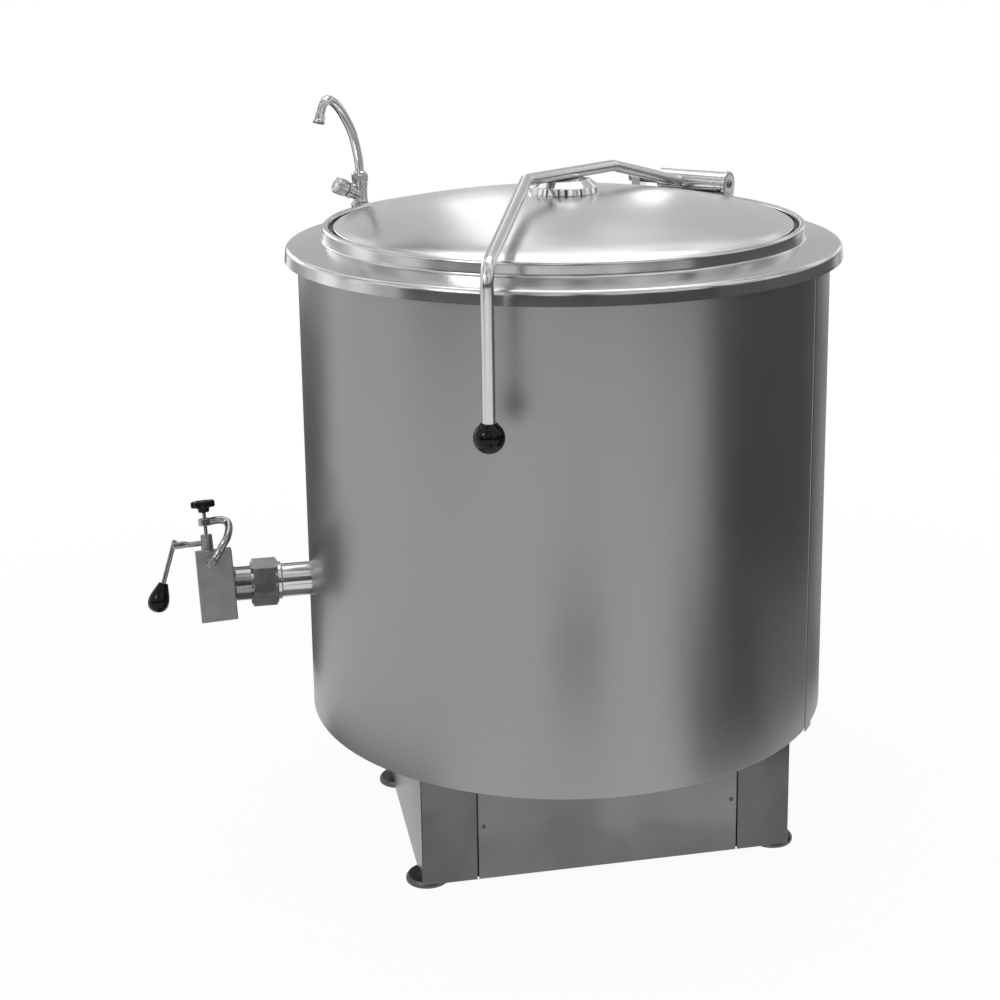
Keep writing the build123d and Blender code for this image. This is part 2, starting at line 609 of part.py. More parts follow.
drop_place = direction(BAR_AZIMUTH) * BAR_REACH
drop_bend = (drop_place.X, drop_place.Y, BAR_DROP_Z)
ball_seat = BALL_Z + BALL_R - BALL_BORE
bar_path = FilletPolyline(
    tuple(hinge_point(0, HINGE_RHO - BAR_START)), BAR_PEAK, BAR_FRONT_BEND, drop_bend,
    (drop_place.X, drop_place.Y, ball_seat), radius=BAR_ROUND)
tube_solid = rod(hinge_point(HINGE_TUBE_START), hinge_point(HINGE_TUBE_END), HINGE_TUBE_R)
lever_bar = bent_bar(bar_path, BAR_R) - tube_solid
ball = Pos(drop_place.X, drop_place.Y, BALL_Z) * Sphere(BALL_R)
ball += upright(BALL_NECK_R, ball_seat, BALL_Z + BALL_R - 1, drop_place.X, drop_place.Y)
ball -= upright(BAR_R, ball_seat, BALL_Z + BALL_R + 5, drop_place.X, drop_place.Y)
boss -= lever_bar
bolt_head_top = DOME_TOP - LID_SHEET
boss_bolt = upright(BOSS_BOLT_R, bolt_head_top - BOSS_BOLT_HEAD, BOSS_TOP_Z - 4)
boss_bolt += upright(BOSS_BOLT_HEAD_R, bolt_head_top - BOSS_BOLT_HEAD, bolt_head_top - 0.1)
boss_bolt -= lever_bar

# Hinge
hinge_tube = tube_solid - rod(hinge_point(HINGE_TUBE_START + HINGE_BUSH),
                              hinge_point(HINGE_TUBE_END - HINGE_BUSH), HINGE_TUBE_BORE)
hinge_tube -= rod(hinge_point(SHAFT_START), hinge_point(HINGE_TUBE_END + 5), SHAFT_R + RUN)
shaft = rod(hinge_point(SHAFT_START), hinge_point(END_BOSS_END - 1), SHAFT_R)
bracket_base = Plane(origin=hinge_point(0), x_dir=hinge_along, z_dir=(0, 0, 1))


def hinge_block(s_low, s_high, rho_low, rho_high, z_low, z_high):
    """A box laid along the hinge axis."""
    box = block(
        (s_low, rho_low - HINGE_RHO, z_low - HINGE_Z), (s_high, rho_high - HINGE_RHO, z_high - HINGE_Z))
    return bracket_base * box


base_low = PLATE_OUTER_Z - 8
bracket = hinge_block(LUG_START, END_BOSS_END, BRACKET_RHO_IN, BRACKET_RHO_OUT, base_low, BRACKET_TOP)
bracket += hinge_block(LUG_START, LUG_END, HINGE_RHO - LUG_HALF + 4, HINGE_RHO + LUG_HALF, base_low, HINGE_Z)
bracket += rod(hinge_point(LUG_START), hinge_point(LUG_END), LUG_HALF)
bracket += hinge_block(END_BOSS_START, END_BOSS_END, HINGE_RHO - 8, HINGE_RHO + 14, base_low, HINGE_Z)
bracket += rod(hinge_point(END_BOSS_START), hinge_point(END_BOSS_END), END_BOSS_R)
bracket -= rod(hinge_point(SHAFT_START - 5), hinge_point(END_BOSS_END + 5), SHAFT_R + RUN)
cut_r = COLLAR_INNER_R - 52
cut_low = LIP_BOTTOM - 76
rim_cut = ring([
    (cut_r, cut_low), (LIP_R + 2, cut_low), (LIP_R + 2, LIP_TOP - 2),
    (PLATE_OUTER_R, PLATE_OUTER_Z + GAP), (PLATE_INNER_R - 1, PLATE_INNER_Z + 0.16 + GAP),
    (COLLAR_OUTER_R + 2.0, PLATE_INNER_Z + 3), (COLLAR_OUTER_R + 1.2, COLLAR_TOP + 2),
    (cut_r, COLLAR_TOP + 2),
])
bracket -= rim_cut
bracket_screws = []
for along in BRACKET_SCREW_S:
    top = hinge_point(along, HINGE_RHO + 5, BRACKET_TOP - 0.2)
    low = hinge_point(along, HINGE_RHO + 5, BRACKET_TOP - BRACKET_SCREW_LENGTH)
    screw = rod(low, top, BRACKET_SCREW_R)
    screw += cone(BRACKET_SCREW_R, BRACKET_SCREW_HEAD_R, top.Z - BRACKET_SCREW_HEAD, top.Z, top.X, top.Y)
    hole = rod(low, top + Vector(0, 0, 5), BRACKET_SCREW_R + RUN)
    hole += cone(BRACKET_SCREW_R + 0.1, BRACKET_SCREW_HEAD_R + 0.3, top.Z - BRACKET_SCREW_HEAD - 0.1,
                 top.Z + 0.3, top.X, top.Y)
    bracket -= hole
    top_rim -= rod(low, top, BRACKET_SCREW_R + RUN)
    bracket_screws.append(screw)
end_screw = rod(hinge_point(END_BOSS_END - 0.9), hinge_point(END_BOSS_END + END_SCREW_HEAD), END_SCREW_R)
spring_length = SPRING_END - SPRING_START
spring_path = Helix(pitch=SPRING_PITCH, height=spring_length, radius=SPRING_R)
spring_section = Plane(origin=spring_path @ 0, z_dir=spring_path % 0) * Circle(SPRING_WIRE_R)
spring = sweep(spring_section, spring_path, is_frenet=True)
spring = Plane(origin=hinge_point(SPRING_START), z_dir=hinge_along) * spring

# Tap
tap_base = cone(TAP_BASE_R, TAP_BASE_NECK_R, TAP_BASE_Z + 5, TAP_BASE_TOP, TAP_X, TAP_Y)
tap_base += upright(TAP_BASE_R, TAP_BASE_Z - 10, TAP_BASE_Z + 5, TAP_X, TAP_Y)
tap_base -= rim_cut
tap_body = upright(TAP_BODY_R, TAP_BASE_TOP, TAP_BODY_TOP, TAP_X, TAP_Y)
nut_plane = Pos(TAP_X, TAP_Y, TAP_BODY_TOP)
tap_nut = nut_plane * extrude(
    RegularPolygon(TAP_NUT_FLATS / 2, 6, major_radius=False), TAP_NUT_TOP - TAP_BODY_TOP)
knob_along = direction(KNOB_AZIMUTH, KNOB_RISE)
knob_origin = Vector(TAP_X, TAP_Y, KNOB_Z)
tap_body += rod(knob_origin, knob_origin + knob_along * (KNOB_START - GAP), BONNET_R)
tap_body -= rod(knob_origin + knob_along * (SPINDLE_START - GAP), knob_origin + knob_along * (KNOB_START + 5),
                SPINDLE_R + RUN)
spout_hole = upright(SPOUT_R + RUN, SPOUT_FOOT_Z - GAP, TAP_NUT_TOP + 1, TAP_X, TAP_Y)
tap_body -= spout_hole
tap_body -= upright(SPOUT_BORE_R, TAP_BASE_TOP - 1, SPOUT_FOOT_Z, TAP_X, TAP_Y)
tap_nut -= spout_hole
tap_base += upright(SHANK_R, SHANK_LOW, TAP_BASE_Z, TAP_X, TAP_Y)
tap_base -= upright(SPOUT_BORE_R, SHANK_LOW - 1, TAP_BASE_TOP + 1, TAP_X, TAP_Y)
tap_base -= upright(WATER_PIPE_R + RUN, SHANK_LOW - 1, SHANK_LOW + WATER_SOCKET, TAP_X, TAP_Y)
top_rim -= upright(SHANK_R + RUN, SHANK_LOW, TAP_BASE_Z + 10, TAP_X, TAP_Y)
water_pipe = upright(WATER_PIPE_R, SERVICE_END_Z, SHANK_LOW + WATER_SOCKET - GAP, TAP_X, TAP_Y)
water_pipe += upright(WATER_THREAD_R, SERVICE_END_Z, SERVICE_END_Z + SERVICE_THREAD, TAP_X, TAP_Y)
water_pipe -= upright(WATER_BORE_R, SERVICE_END_Z - 1, SHANK_LOW + WATER_SOCKET, TAP_X, TAP_Y)
spout_along = direction(SPOUT_AZIMUTH)
spout_points = [
    (TAP_X + spout_along.X * reach, TAP_Y + spout_along.Y * reach, TAP_BODY_TOP + rise)
    for reach, rise in SPOUT_PATH]
spout_foot = Line((TAP_X, TAP_Y, SPOUT_FOOT_Z), spout_points[0])
outlet_axis = (spout_along * 0.36 + Vector(0, 0, -0.93)).normalized()
spout_curve = Spline(*spout_points, tangents=[(0, 0, 1), tuple(outlet_axis)])
spout_wire = Wire([spout_foot.edge(), spout_curve.edge()])
outlet_place = Plane(origin=spout_points[-1], z_dir=outlet_axis)
flare = outlet_place * Cone(SPOUT_R, OUTLET_R, OUTLET_LENGTH, align=(Align.CENTER, Align.CENTER, Align.MIN))
flare -= outlet_place * Cone(
    SPOUT_BORE_R, OUTLET_R - SPOUT_R + SPOUT_BORE_R, OUTLET_LENGTH,
    align=(Align.CENTER, Align.CENTER, Align.MIN))
spout = bent_bar(spout_wire, SPOUT_R) - bent_bar(spout_wire, SPOUT_BORE_R)
spout += flare
knob_place = Plane(origin=knob_origin + knob_along * KNOB_START, z_dir=knob_along)
knob = Cylinder(KNOB_R, KNOB_LENGTH, align=(Align.CENTER, Align.CENTER, Align.MIN))
knob = chamfer(knob.edges().filter_by(GeomType.CIRCLE), 1.5)
for index in range(KNOB_FLUTES):
    flute = Cylinder(KNOB_FLUTE_R, KNOB_LENGTH, align=(Align.CENTER, Align.CENTER, Align.MIN))
    knob -= Rot(0, 0, 360 / KNOB_FLUTES * index) * Pos(KNOB_R + KNOB_FLUTE_STEP, 0, KNOB_FLUTE_START) * flute
knob -= Cylinder(SPINDLE_R, SPINDLE_GRIP, align=(Align.CENTER, Align.CENTER, Align.MIN))
knob = knob_place * knob
spindle = rod(knob_origin + knob_along * SPINDLE_START,
              knob_origin + knob_along * (KNOB_START + SPINDLE_GRIP), SPINDLE_R)

# Drain line
pipe_end = NUT_START + NUT_LIP + GAP + LINER_FLANGE + GAP
drain_tube = rod((0, 0, DRAIN_Z), (pipe_end, 0, DRAIN_Z), PIPE_R)
drain_tube += rod((pipe_end, 0, DRAIN_Z), (pipe_end + UNION_LENGTH, 0, DRAIN_Z), UNION_R)
drain_tube -= bowl_outer
drain_tube -= rod((1, 0, DRAIN_Z), (pipe_end - 1, 0, DRAIN_Z), PIPE_BORE_R)
nut_place = Plane(origin=(NUT_START, 0, DRAIN_Z), x_dir=(0, 0, 1), z_dir=(1, 0, 0))
nut_outline = RegularPolygon(NUT_FLATS / 2, 6, major_radius=False, rotation=NUT_TURN)
union_nut = nut_place * extrude(nut_outline, NUT_END - NUT_START)
nut_rounding = nut_place * Cylinder(
    NUT_FLATS / 2 * 1.11, NUT_END - NUT_START, align=(Align.CENTER, Align.CENTER, Align.MIN))
nut_rounding = chamfer(nut_rounding.edges().filter_by(GeomType.CIRCLE), 3.5)
union_nut = union_nut & nut_rounding
union_nut -= rod((NUT_START - 1, 0, DRAIN_Z), (NUT_END + 1, 0, DRAIN_Z), PIPE_R + RUN)
union_nut -= rod((NUT_START + NUT_LIP, 0, DRAIN_Z), (NUT_END + 1, 0, DRAIN_Z), UNION_R + RUN)

# Valve, drawn in its own frame and then laid over
valve_place = Pos(VALVE_X, 0, DRAIN_Z) * Rot(-VALVE_LEAN, 0, 0) * Rot(0, -VALVE_TILT, 0)
body_box = block((-BODY_HALF, -BODY_HALF, BODY_LOW), (BODY_HALF, BODY_HALF, BODY_HIGH))
body_box = fillet(body_box.edges().filter_by(Axis.Z), BODY_ROUND)
valve_body = valve_place * body_box
liner_low = NUT_START + NUT_LIP + GAP
valve_body += rod((VALVE_X + BODY_HALF - 4, 0, DRAIN_Z), (liner_low, 0, DRAIN_Z), PIPE_R)
valve_body += rod((liner_low, 0, DRAIN_Z), (liner_low + LINER_FLANGE, 0, DRAIN_Z), LINER_FLANGE_R)
taper = (PLUG_TOP_R - PLUG_LOW_R) / (BODY_HIGH - PLUG_LOW)
valve_body -= valve_place * cone(
    PLUG_LOW_R - taper * 8 + RUN, PLUG_TOP_R + taper * 2 + RUN, PLUG_LOW - 8, BODY_HIGH + 2, PLUG_X)
valve_body -= rod((VALVE_X + BODY_HALF - 3, 0, DRAIN_Z), (liner_low + 5, 0, DRAIN_Z), PIPE_BORE_R)
valve_body -= rod((VALVE_X, 0, DRAIN_Z), (VALVE_X + BODY_HALF, 0, DRAIN_Z), PORT_R)
valve_body -= valve_place * rod(
    (PIVOT_X, -BODY_HALF + 6, PIVOT_Z), (PIVOT_X, -BODY_HALF - 5, PIVOT_Z), PIVOT_BOLT_R)

plug = cone(PLUG_LOW_R, PLUG_TOP_R, PLUG_LOW, BODY_HIGH, PLUG_X)
plug -= upright(PLUG_BORE_R, PLUG_LOW - 1, PORT_TOP, PLUG_X)
plug -= rod((PLUG_X, 0, 0), (PLUG_X, -BODY_HALF, 0), PORT_R)
plug += cone(STEM_LOW_R, STEM_TOP_R, BODY_HIGH, STEM_TOP, PLUG_X)
plug = valve_place * plug
arm_end = PLUG_X - ARM_FLAT_START
plug_lever = rod((PLUG_X - STEM_TOP_R + 1, 0, ARM_Z), (arm_end, 0, ARM_Z), ARM_R)
flat_low = PLUG_X - ARM_FLAT_END
plug_lever += block((flat_low, -ARM_FLAT[1] / 2, ARM_Z - ARM_FLAT[0] / 2),
                    (arm_end, ARM_FLAT[1] / 2, ARM_Z + ARM_FLAT[0] / 2))
bar_direction = Vector(GRIP_BAR_LOW[0] - GRIP_BAR_TOP[0], 0, GRIP_BAR_LOW[1] - GRIP_BAR_TOP[1]).normalized()
bar_top = Vector(GRIP_BAR_TOP[0], 0, GRIP_BAR_TOP[1])
bar_low = Vector(GRIP_BAR_LOW[0], 0, GRIP_BAR_LOW[1])
plug_lever += rod(bar_top, bar_low + bar_direction * PEAR_GRIP, GRIP_BAR_R)
plug_lever = valve_place * plug_lever
plug_lever -= plug
pear_side = Spline(*PEAR_PROFILE, tangents=[(0.3, 1), (-1, 0)])
pear_profile = Plane.XZ * make_face([
    Line((0, 0), PEAR_PROFILE[0]), pear_side, Line(PEAR_PROFILE[-1], (0, 0))])
pear = revolve(pear_profile, Axis.Z)
pear -= upright(GRIP_BAR_R, -1, PEAR_GRIP)
pear = valve_place * (Plane(origin=bar_low, z_dir=bar_direction) * pear)

# Clamp arm, its pivot bolt, and the screw that holds the plug down
clamp_wire = Spline(*CLAMP_PATH, (SCREW_X + EYE_R - 2, 0, (EYE_LOW + EYE_HIGH) / 2))
clamp_arm = bent_bar(clamp_wire, CLAMP_ROD_R)
clamp_foot_start = Vector(PIVOT_X, PIVOT_Y, PIVOT_Z)
clamp_arm += rod(clamp_foot_start, CLAMP_PATH[0], CLAMP_ROD_R)
clamp_arm += Pos(*CLAMP_PATH[0]) * Sphere(CLAMP_ROD_R)
clamp_arm += rod((PIVOT_X, -BODY_HALF - GAP, PIVOT_Z), (PIVOT_X, PIVOT_FACE, PIVOT_Z), PIVOT_R)
clamp_arm -= rod((PIVOT_X, -BODY_HALF + 5, PIVOT_Z), (PIVOT_X, PIVOT_FACE - 5, PIVOT_Z), PIVOT_BOLT_R + RUN)
clamp_arm += upright(EYE_R, EYE_LOW, EYE_HIGH, SCREW_X)
clamp_arm -= upright(SCREW_R + RUN, EYE_LOW - 5, EYE_HIGH + 5, SCREW_X)
clamp_arm = valve_place * clamp_arm
pivot_bolt = rod((PIVOT_X, -BODY_HALF + 5.7, PIVOT_Z), (PIVOT_X, PIVOT_FACE - GAP, PIVOT_Z), PIVOT_BOLT_R)
pivot_bolt += rod((PIVOT_X, PIVOT_FACE - GAP, PIVOT_Z), (PIVOT_X, PIVOT_FACE - GAP - PIVOT_BOLT_HEAD, PIVOT_Z),
                  PIVOT_BOLT_HEAD_R)
pivot_bolt = valve_place * pivot_bolt
clamp_screw = upright(SCREW_R, SCREW_TIP, STAR_LOW, SCREW_X)
star_knob = upright(STAR_R, STAR_LOW, STAR_HIGH, SCREW_X)
star_knob = chamfer(star_knob.edges().filter_by(GeomType.CIRCLE), 1.5)
for index in range(STAR_LOBES):
    notch = upright(STAR_NOTCH_R, STAR_LOW - 1, STAR_HIGH + 1, STAR_R + STAR_NOTCH_STEP)
    star_knob -= Pos(SCREW_X, 0, 0) * Rot(0, 0, 360 / STAR_LOBES * (index + 0.5)) * notch
star_knob += upright(STAR_HUB_R, STAR_HUB_LOW, STAR_LOW + 1, SCREW_X)
star_knob -= upright(SCREW_R, STAR_HUB_LOW - 1, STAR_LOW, SCREW_X)
clamp_screw = valve_place * clamp_screw
star_knob = valve_place * star_knob


# Plinth covers: two side covers folded round the corners, a front and a rear panel
def side_cover(side):
    """One side cover, folded round both corners."""
    outer = side * PLINTH_HALF
    inner = side * (PLINTH_HALF - COVER_SHEET)
    seam = side * (SEAM_X + SEAM_HALF)
    low_x, high_x = both_sides(inner, outer)
    cover = block((low_x, PLINTH_FRONT, PLINTH_LOW), (high_x, PLINTH_REAR, PLINTH_TOP))
    low_x, high_x = both_sides(seam, outer)
    cover += block((low_x, PLINTH_FRONT, PLINTH_LOW), (high_x, PLINTH_FRONT + COVER_SHEET, PLINTH_TOP))
    cover += block((low_x, PLINTH_REAR - COVER_SHEET, PLINTH_LOW), (high_x, PLINTH_REAR, PLINTH_TOP))
    return cover


plinth_left = side_cover(-1)
plinth_right = side_cover(1)
panel_x = SEAM_X - SEAM_HALF
front_panel = block((-panel_x, PLINTH_FRONT, PLINTH_LOW), (panel_x, PLINTH_FRONT + COVER_SHEET, PLINTH_TOP))
rear_panel = block((-panel_x, PLINTH_REAR - COVER_SHEET, PLINTH_LOW), (panel_x, PLINTH_REAR, PLINTH_TOP))

# Plinth frame: square tube rings, corner posts, gussets with foot bushes and screw tabs
frame_x = PLINTH_HALF - COVER_SHEET
frame_front = PLINTH_FRONT + COVER_SHEET
frame_rear = PLINTH_REAR - COVER_SHEET


def tube_ring(low):
    """A level ring of square tube."""
    high = low + FRAME_TUBE
    outer = block((-frame_x, frame_front, low), (frame_x, frame_rear, high))
    inner = block((-frame_x + FRAME_TUBE, frame_front + FRAME_TUBE, low - 1),
                  (frame_x - FRAME_TUBE, frame_rear - FRAME_TUBE, high + 1))
    hollow = block((-frame_x + FRAME_WALL, frame_front + FRAME_WALL, low + FRAME_WALL),
                   (frame_x - FRAME_WALL, frame_rear - FRAME_WALL, high - FRAME_WALL))
    core = block((-frame_x + FRAME_TUBE - FRAME_WALL, frame_front + FRAME_TUBE - FRAME_WALL, low),
                 (frame_x - FRAME_TUBE + FRAME_WALL, frame_rear - FRAME_TUBE + FRAME_WALL, high))
    return outer - inner - (hollow - core)


frame_top_low = CASING_BOTTOM - FRAME_TUBE
plinth_frame = tube_ring(frame_top_low)
for side_x in (-1, 1):
    for corner_y, inward in ((frame_front, 1), (frame_rear, -1)):
        low_x, high_x = both_sides(side_x * frame_x, side_x * (frame_x - FRAME_TUBE))
        low_y, high_y = both_sides(corner_y, corner_y + inward * FRAME_TUBE)
        plinth_frame += block((low_x, low_y, GUSSET_LOW + 0.5), (high_x, high_y, frame_top_low + 0.5))
        low_x, high_x = both_sides(side_x * frame_x, side_x * (frame_x - GUSSET_SIZE))
        low_y, high_y = both_sides(corner_y, corner_y + inward * GUSSET_SIZE)
        plinth_frame += block((low_x, low_y, GUSSET_LOW), (high_x, high_y, GUSSET_LOW + GUSSET))
foot_places = [
    (-FOOT_X, FOOT_FRONT_Y), (FOOT_X, FOOT_FRONT_Y), (-FOOT_X, FOOT_REAR_Y), (FOOT_X, FOOT_REAR_Y)]
feet = []
for x, y in foot_places:
    plinth_frame += upright(FOOT_BUSH_R, GUSSET_LOW, GUSSET_LOW + FOOT_BUSH_HEIGHT, x, y)
    plinth_frame -= upright(FOOT_STEM_R + RUN, GUSSET_LOW - 1, FOOT_STEM_TOP + FOOT_TRAVEL + 2, x, y)
    pad = upright(FOOT_R, 0, FOOT_PAD, x, y)
    pad = chamfer(pad.edges().group_by(Axis.Z)[-1], 2.5)
    feet.append(pad + upright(FOOT_STEM_R, FOOT_PAD - 1, FOOT_STEM_TOP, x, y))
cover_screws = []
for face_y, outward, tab_y in ((PLINTH_FRONT, -1, frame_front), (PLINTH_REAR, 1, frame_rear)):
    for side_x in (-1, 1):
        x = side_x * PANEL_SCREW_X
        low_y, high_y = both_sides(tab_y, tab_y - outward * TAB_DEPTH)
        tab = block(
            (x - TAB_HALF, low_y, PANEL_SCREW_Z - TAB_HALF), (x + TAB_HALF, high_y, frame_top_low + 1))
        plinth_frame += tab
        shank = rod(
            (x, face_y, PANEL_SCREW_Z), (x, face_y - outward * SCREW_SHANK, PANEL_SCREW_Z), SCREW_SHANK_R)
        head = rod(
            (x, face_y, PANEL_SCREW_Z), (x, face_y + outward * SCREW_HEAD, PANEL_SCREW_Z), SCREW_HEAD_R)
        hole = rod((x, face_y + outward * 3, PANEL_SCREW_Z),
                   (x, face_y - outward * (SCREW_SHANK + 1), PANEL_SCREW_Z), SCREW_SHANK_R + RUN)
        plinth_frame -= hole
        front_panel -= hole
        rear_panel -= hole
        cover_screws.append(shank + head)

pieces["casing_shell"] = shell
pieces["service_panel"] = panel
pieces["casing_floor"] = casing_floor
pieces["panel_screws"] = Compound(children=panel_screws)
pieces["top_rim"] = top_rim
pieces["kettle_bowl"] = bowl
pieces["steam_jacket"] = jacket
pieces["insulation"] = wool
pieces["support_skirt"] = skirt
pieces["steam_inlet"] = steam_pipe
pieces["condensate_outlet"] = drip_pipe
pieces["safety_valve"] = relief
pieces["lid_shell"] = lid_shell
pieces["lid_seal"] = lid_seal
pieces["lid_boss"] = boss
pieces["boss_bolt"] = boss_bolt
pieces["lever_bar"] = lever_bar
pieces["ball_knob"] = ball
pieces["hinge_tube"] = hinge_tube
pieces["hinge_shaft"] = shaft
pieces["hinge_bracket"] = bracket
pieces["bracket_screws"] = Compound(children=bracket_screws)
pieces["hinge_end_screw"] = end_screw
pieces["hinge_spring"] = spring
pieces["water_pipe"] = water_pipe
pieces["tap_base"] = tap_base
pieces["tap_body"] = tap_body
pieces["tap_nut"] = tap_nut
pieces["tap_spout"] = spout
pieces["tap_knob"] = knob
pieces["tap_spindle"] = spindle
pieces["drain_tube"] = drain_tube
pieces["union_nut"] = union_nut
pieces["valve_body"] = valve_body
pieces["plug"] = plug
pieces["plug_lever"] = plug_lever
pieces["pear_grip"] = pear
pieces["clamp_arm"] = clamp_arm
pieces["pivot_bolt"] = pivot_bolt
pieces["clamp_screw"] = clamp_screw
pieces["star_knob"] = star_knob
pieces["plinth_left_cover"] = plinth_left
pieces["plinth_right_cover"] = plinth_right
pieces["plinth_front_panel"] = front_panel
pieces["plinth_rear_panel"] = rear_panel
pieces["plinth_frame"] = plinth_frame
pieces["cover_screws"] = Compound(children=cover_screws)
pieces["foot_front_left"] = feet[0]
pieces["foot_front_right"] = feet[1]
pieces["foot_rear_left"] = feet[2]
pieces["foot_rear_right"] = feet[3]

# Move the origin under the middle of the whole object and write the files
boxes = [piece.bounding_box() for piece in pieces.values()]
middle_x = (min(box.min.X for box in boxes) + max(box.max.X for box in boxes)) / 2
middle_y = (min(box.min.Y for box in boxes) + max(box.max.Y for box in boxes)) / 2
lowest = min(box.min.Z for box in boxes)
shift = Pos(-middle_x, -middle_y, -lowest)
print("kettle axis", -middle_x, -middle_y, "floor", -lowest)
os.makedirs("parts", exist_ok=True)
for name, piece in pieces.items():
    export_step(shift * piece, "parts/" + name + ".step")
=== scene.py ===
"""The steam cooking kettle as it looks: surfaces, finishes, light and camera around the fixed frame."""

import json
from math import cos, pi, radians, sin

import bmesh
import bpy
import numpy as np
from mathutils import Matrix, Vector


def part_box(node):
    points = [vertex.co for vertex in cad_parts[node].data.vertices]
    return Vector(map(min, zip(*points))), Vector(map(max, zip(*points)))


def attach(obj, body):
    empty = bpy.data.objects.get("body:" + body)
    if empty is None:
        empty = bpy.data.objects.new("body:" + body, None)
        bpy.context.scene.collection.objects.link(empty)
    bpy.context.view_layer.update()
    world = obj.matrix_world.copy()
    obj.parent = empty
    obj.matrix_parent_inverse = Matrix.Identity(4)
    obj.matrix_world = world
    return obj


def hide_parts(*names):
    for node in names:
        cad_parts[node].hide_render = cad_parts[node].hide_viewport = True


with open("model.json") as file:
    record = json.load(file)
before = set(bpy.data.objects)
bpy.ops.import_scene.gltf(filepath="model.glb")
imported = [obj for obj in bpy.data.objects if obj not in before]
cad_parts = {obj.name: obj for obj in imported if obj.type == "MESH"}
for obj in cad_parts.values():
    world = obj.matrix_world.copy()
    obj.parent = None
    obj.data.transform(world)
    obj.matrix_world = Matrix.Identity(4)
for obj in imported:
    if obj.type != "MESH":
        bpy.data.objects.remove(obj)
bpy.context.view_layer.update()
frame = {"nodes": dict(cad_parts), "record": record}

# Lengths are in mm from the kettle's upright axis and the floor.
# A piece's mesh is in metres in the shared frame.
# The seams (SEAM_ANGLE, SEAM_SHOWN) are wider here than in the solids, so that they show as dark lines.
lid_low, lid_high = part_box("lid_shell")
KETTLE_AXIS = np.array([(lid_low.x + lid_high.x) / 2, (lid_low.y + lid_high.y) / 2, 0.0])
UP = np.array([0.0, 0.0, 1.0])

# Casing and rim
CASING_R = 400.0
SHEET = 1.5
SHEET_EDGE = 0.3
CASING_BOTTOM = 175.0
CASING_TOP = 895.4
PANEL_HALF_ANGLE = 38.5
SEAM_ANGLE = 0.26
SEAM_FLANGE = 12.0
SEAM_BEND = 1.9
TONGUE_DROP = 6.5
RIM_SHEET = 2.5
LIP_R = 418.8
LIP_BOTTOM = 876.0
PLATE_OUTER = (415.5, 894.8)
PLATE_INNER_Z = 903.4
COLLAR_INNER_R = 352.0
COLLAR_OUTER_R = 362.5
COLLAR_TOP = 925.0
BOWL_FLANGE_TOP = 900.0

# Lid
LID_R = 346.0
LID_SHEET = 2.0
LID_EDGE_Z = 921.1
LID_RISE = 39.2
LID_SHOULDER = 5.8
LID_SKIRT_BOTTOM = 906.0
LID_HEM = 12.0
SEAL_INNER_R = 335.0
SEAL_OUTER_R = 344.0
BOSS_FOOT_R = 54.0
BOSS_SHOULDER_R = 52.0
BOSS_SHOULDER_Z = 977.0
BOSS_TOP_R = 40.0
BOSS_TOP_Z = 986.5

# Lever bar and ball
BAR_R = 9.0
BAR_PEAK = (102.0, 102.0, 990.0)
BAR_FRONT_BEND = (-71.5, -74.0, 996.0)
BAR_DROP_BEND = (-196.8, -444.4, 939.0)
BAR_ROUND = 30.0
BALL_Z = 718.0
BALL_R = 21.0
BALL_NECK_R = 12.0

# Hinge, along and across its axis
HINGE_RHO = 376.0
HINGE_Z = 939.0
HINGE_TUBE_R = 19.0
HINGE_TUBE_ENDS = (-43.0, 79.0)
SHAFT_R = 8.0
SHAFT_START = -104.0
END_BOSS_R = 20.5
END_BOSS = (79.3, 85.3)
LUG = (-95.0, -79.0)
LUG_HALF = 13.0
BRACKET_RHO = (367.0, 391.0)
BRACKET_TOP = 911.0

# Tap
TAP_PLACE = (-278.0, 265.0)
TAP_BASE_R = 19.0
TAP_BASE_TOP = 922.0
TAP_BODY_R = 12.3
TAP_BODY_TOP = 957.0
TAP_NUT_FLATS = 25.0
TAP_NUT_TOP = 969.0
SPOUT_R = 7.2
SPOUT_AZIMUTH = -42.0
SPOUT_PATH = (
    (0.0, 976.0), (5.5, 1005.5), (16.0, 1034.5), (33.5, 1060.5), (53.0, 1081.5),
    (69.0, 1091.5), (80.0, 1094.0), (89.5, 1089.0), (98.9, 1073.1),
)
OUTLET_R = 9.5
OUTLET_LENGTH = 14.0
KNOB_AZIMUTH = -66.0
KNOB_RISE = 24.5
KNOB_Z = 935.0
KNOB_START = 27.5
KNOB_R = 13.75
BONNET_R = 12.2

# Drain line and valve
DRAIN_Z = 386.0
PIPE_R = 25.5
PIPE_BORE_R = 22.0
PIPE_START = 345.0
FERRULE_R = 28.65
LINER_END = 60.0
NUT_FLATS = 63.0
NUT_TURN = -7.0
NUT_ENDS = (-489.5, -449.0)
VALVE_X = -541.0
VALVE_LEAN = 13.5
VALVE_TILT = 2.5
BODY_HALF = 27.0
BODY_LOW = -51.0
BODY_HIGH = 53.0
PLUG_X = -8.0
PLUG_TOP_R = 16.5
PLUG_LOW_R = 14.5
PLUG_LOW = -46.0
PLUG_BORE_R = 11.0
PLUG_BORE_TOP = 14.0
STEM_TOP = 78.4
ARM_Z = 66.0
ARM_SECTIONS = (
    (6.0, 4.0, 4.0, 2.0), (20.0, 4.0, 4.0, 2.0), (24.0, 4.0, 4.0, 2.0), (27.0, 4.1, 4.0, 2.2),
    (30.0, 4.5, 4.3, 2.8), (33.0, 4.9, 5.0, 3.5), (36.0, 5.0, 5.2, 4.5), (44.0, 5.0, 5.2, 4.5),
    (48.5, 5.0, 5.2, 4.5), (50.3, 4.6, 4.8, 4.5), (51.0, 3.7, 3.8, 4.5),
)
GRIP_BAR_R = 3.5
GRIP_BAR_TOP = (-56.5, 0.0, 71.0)
GRIP_BAR_LOW = (-77.5, 0.0, 13.0)
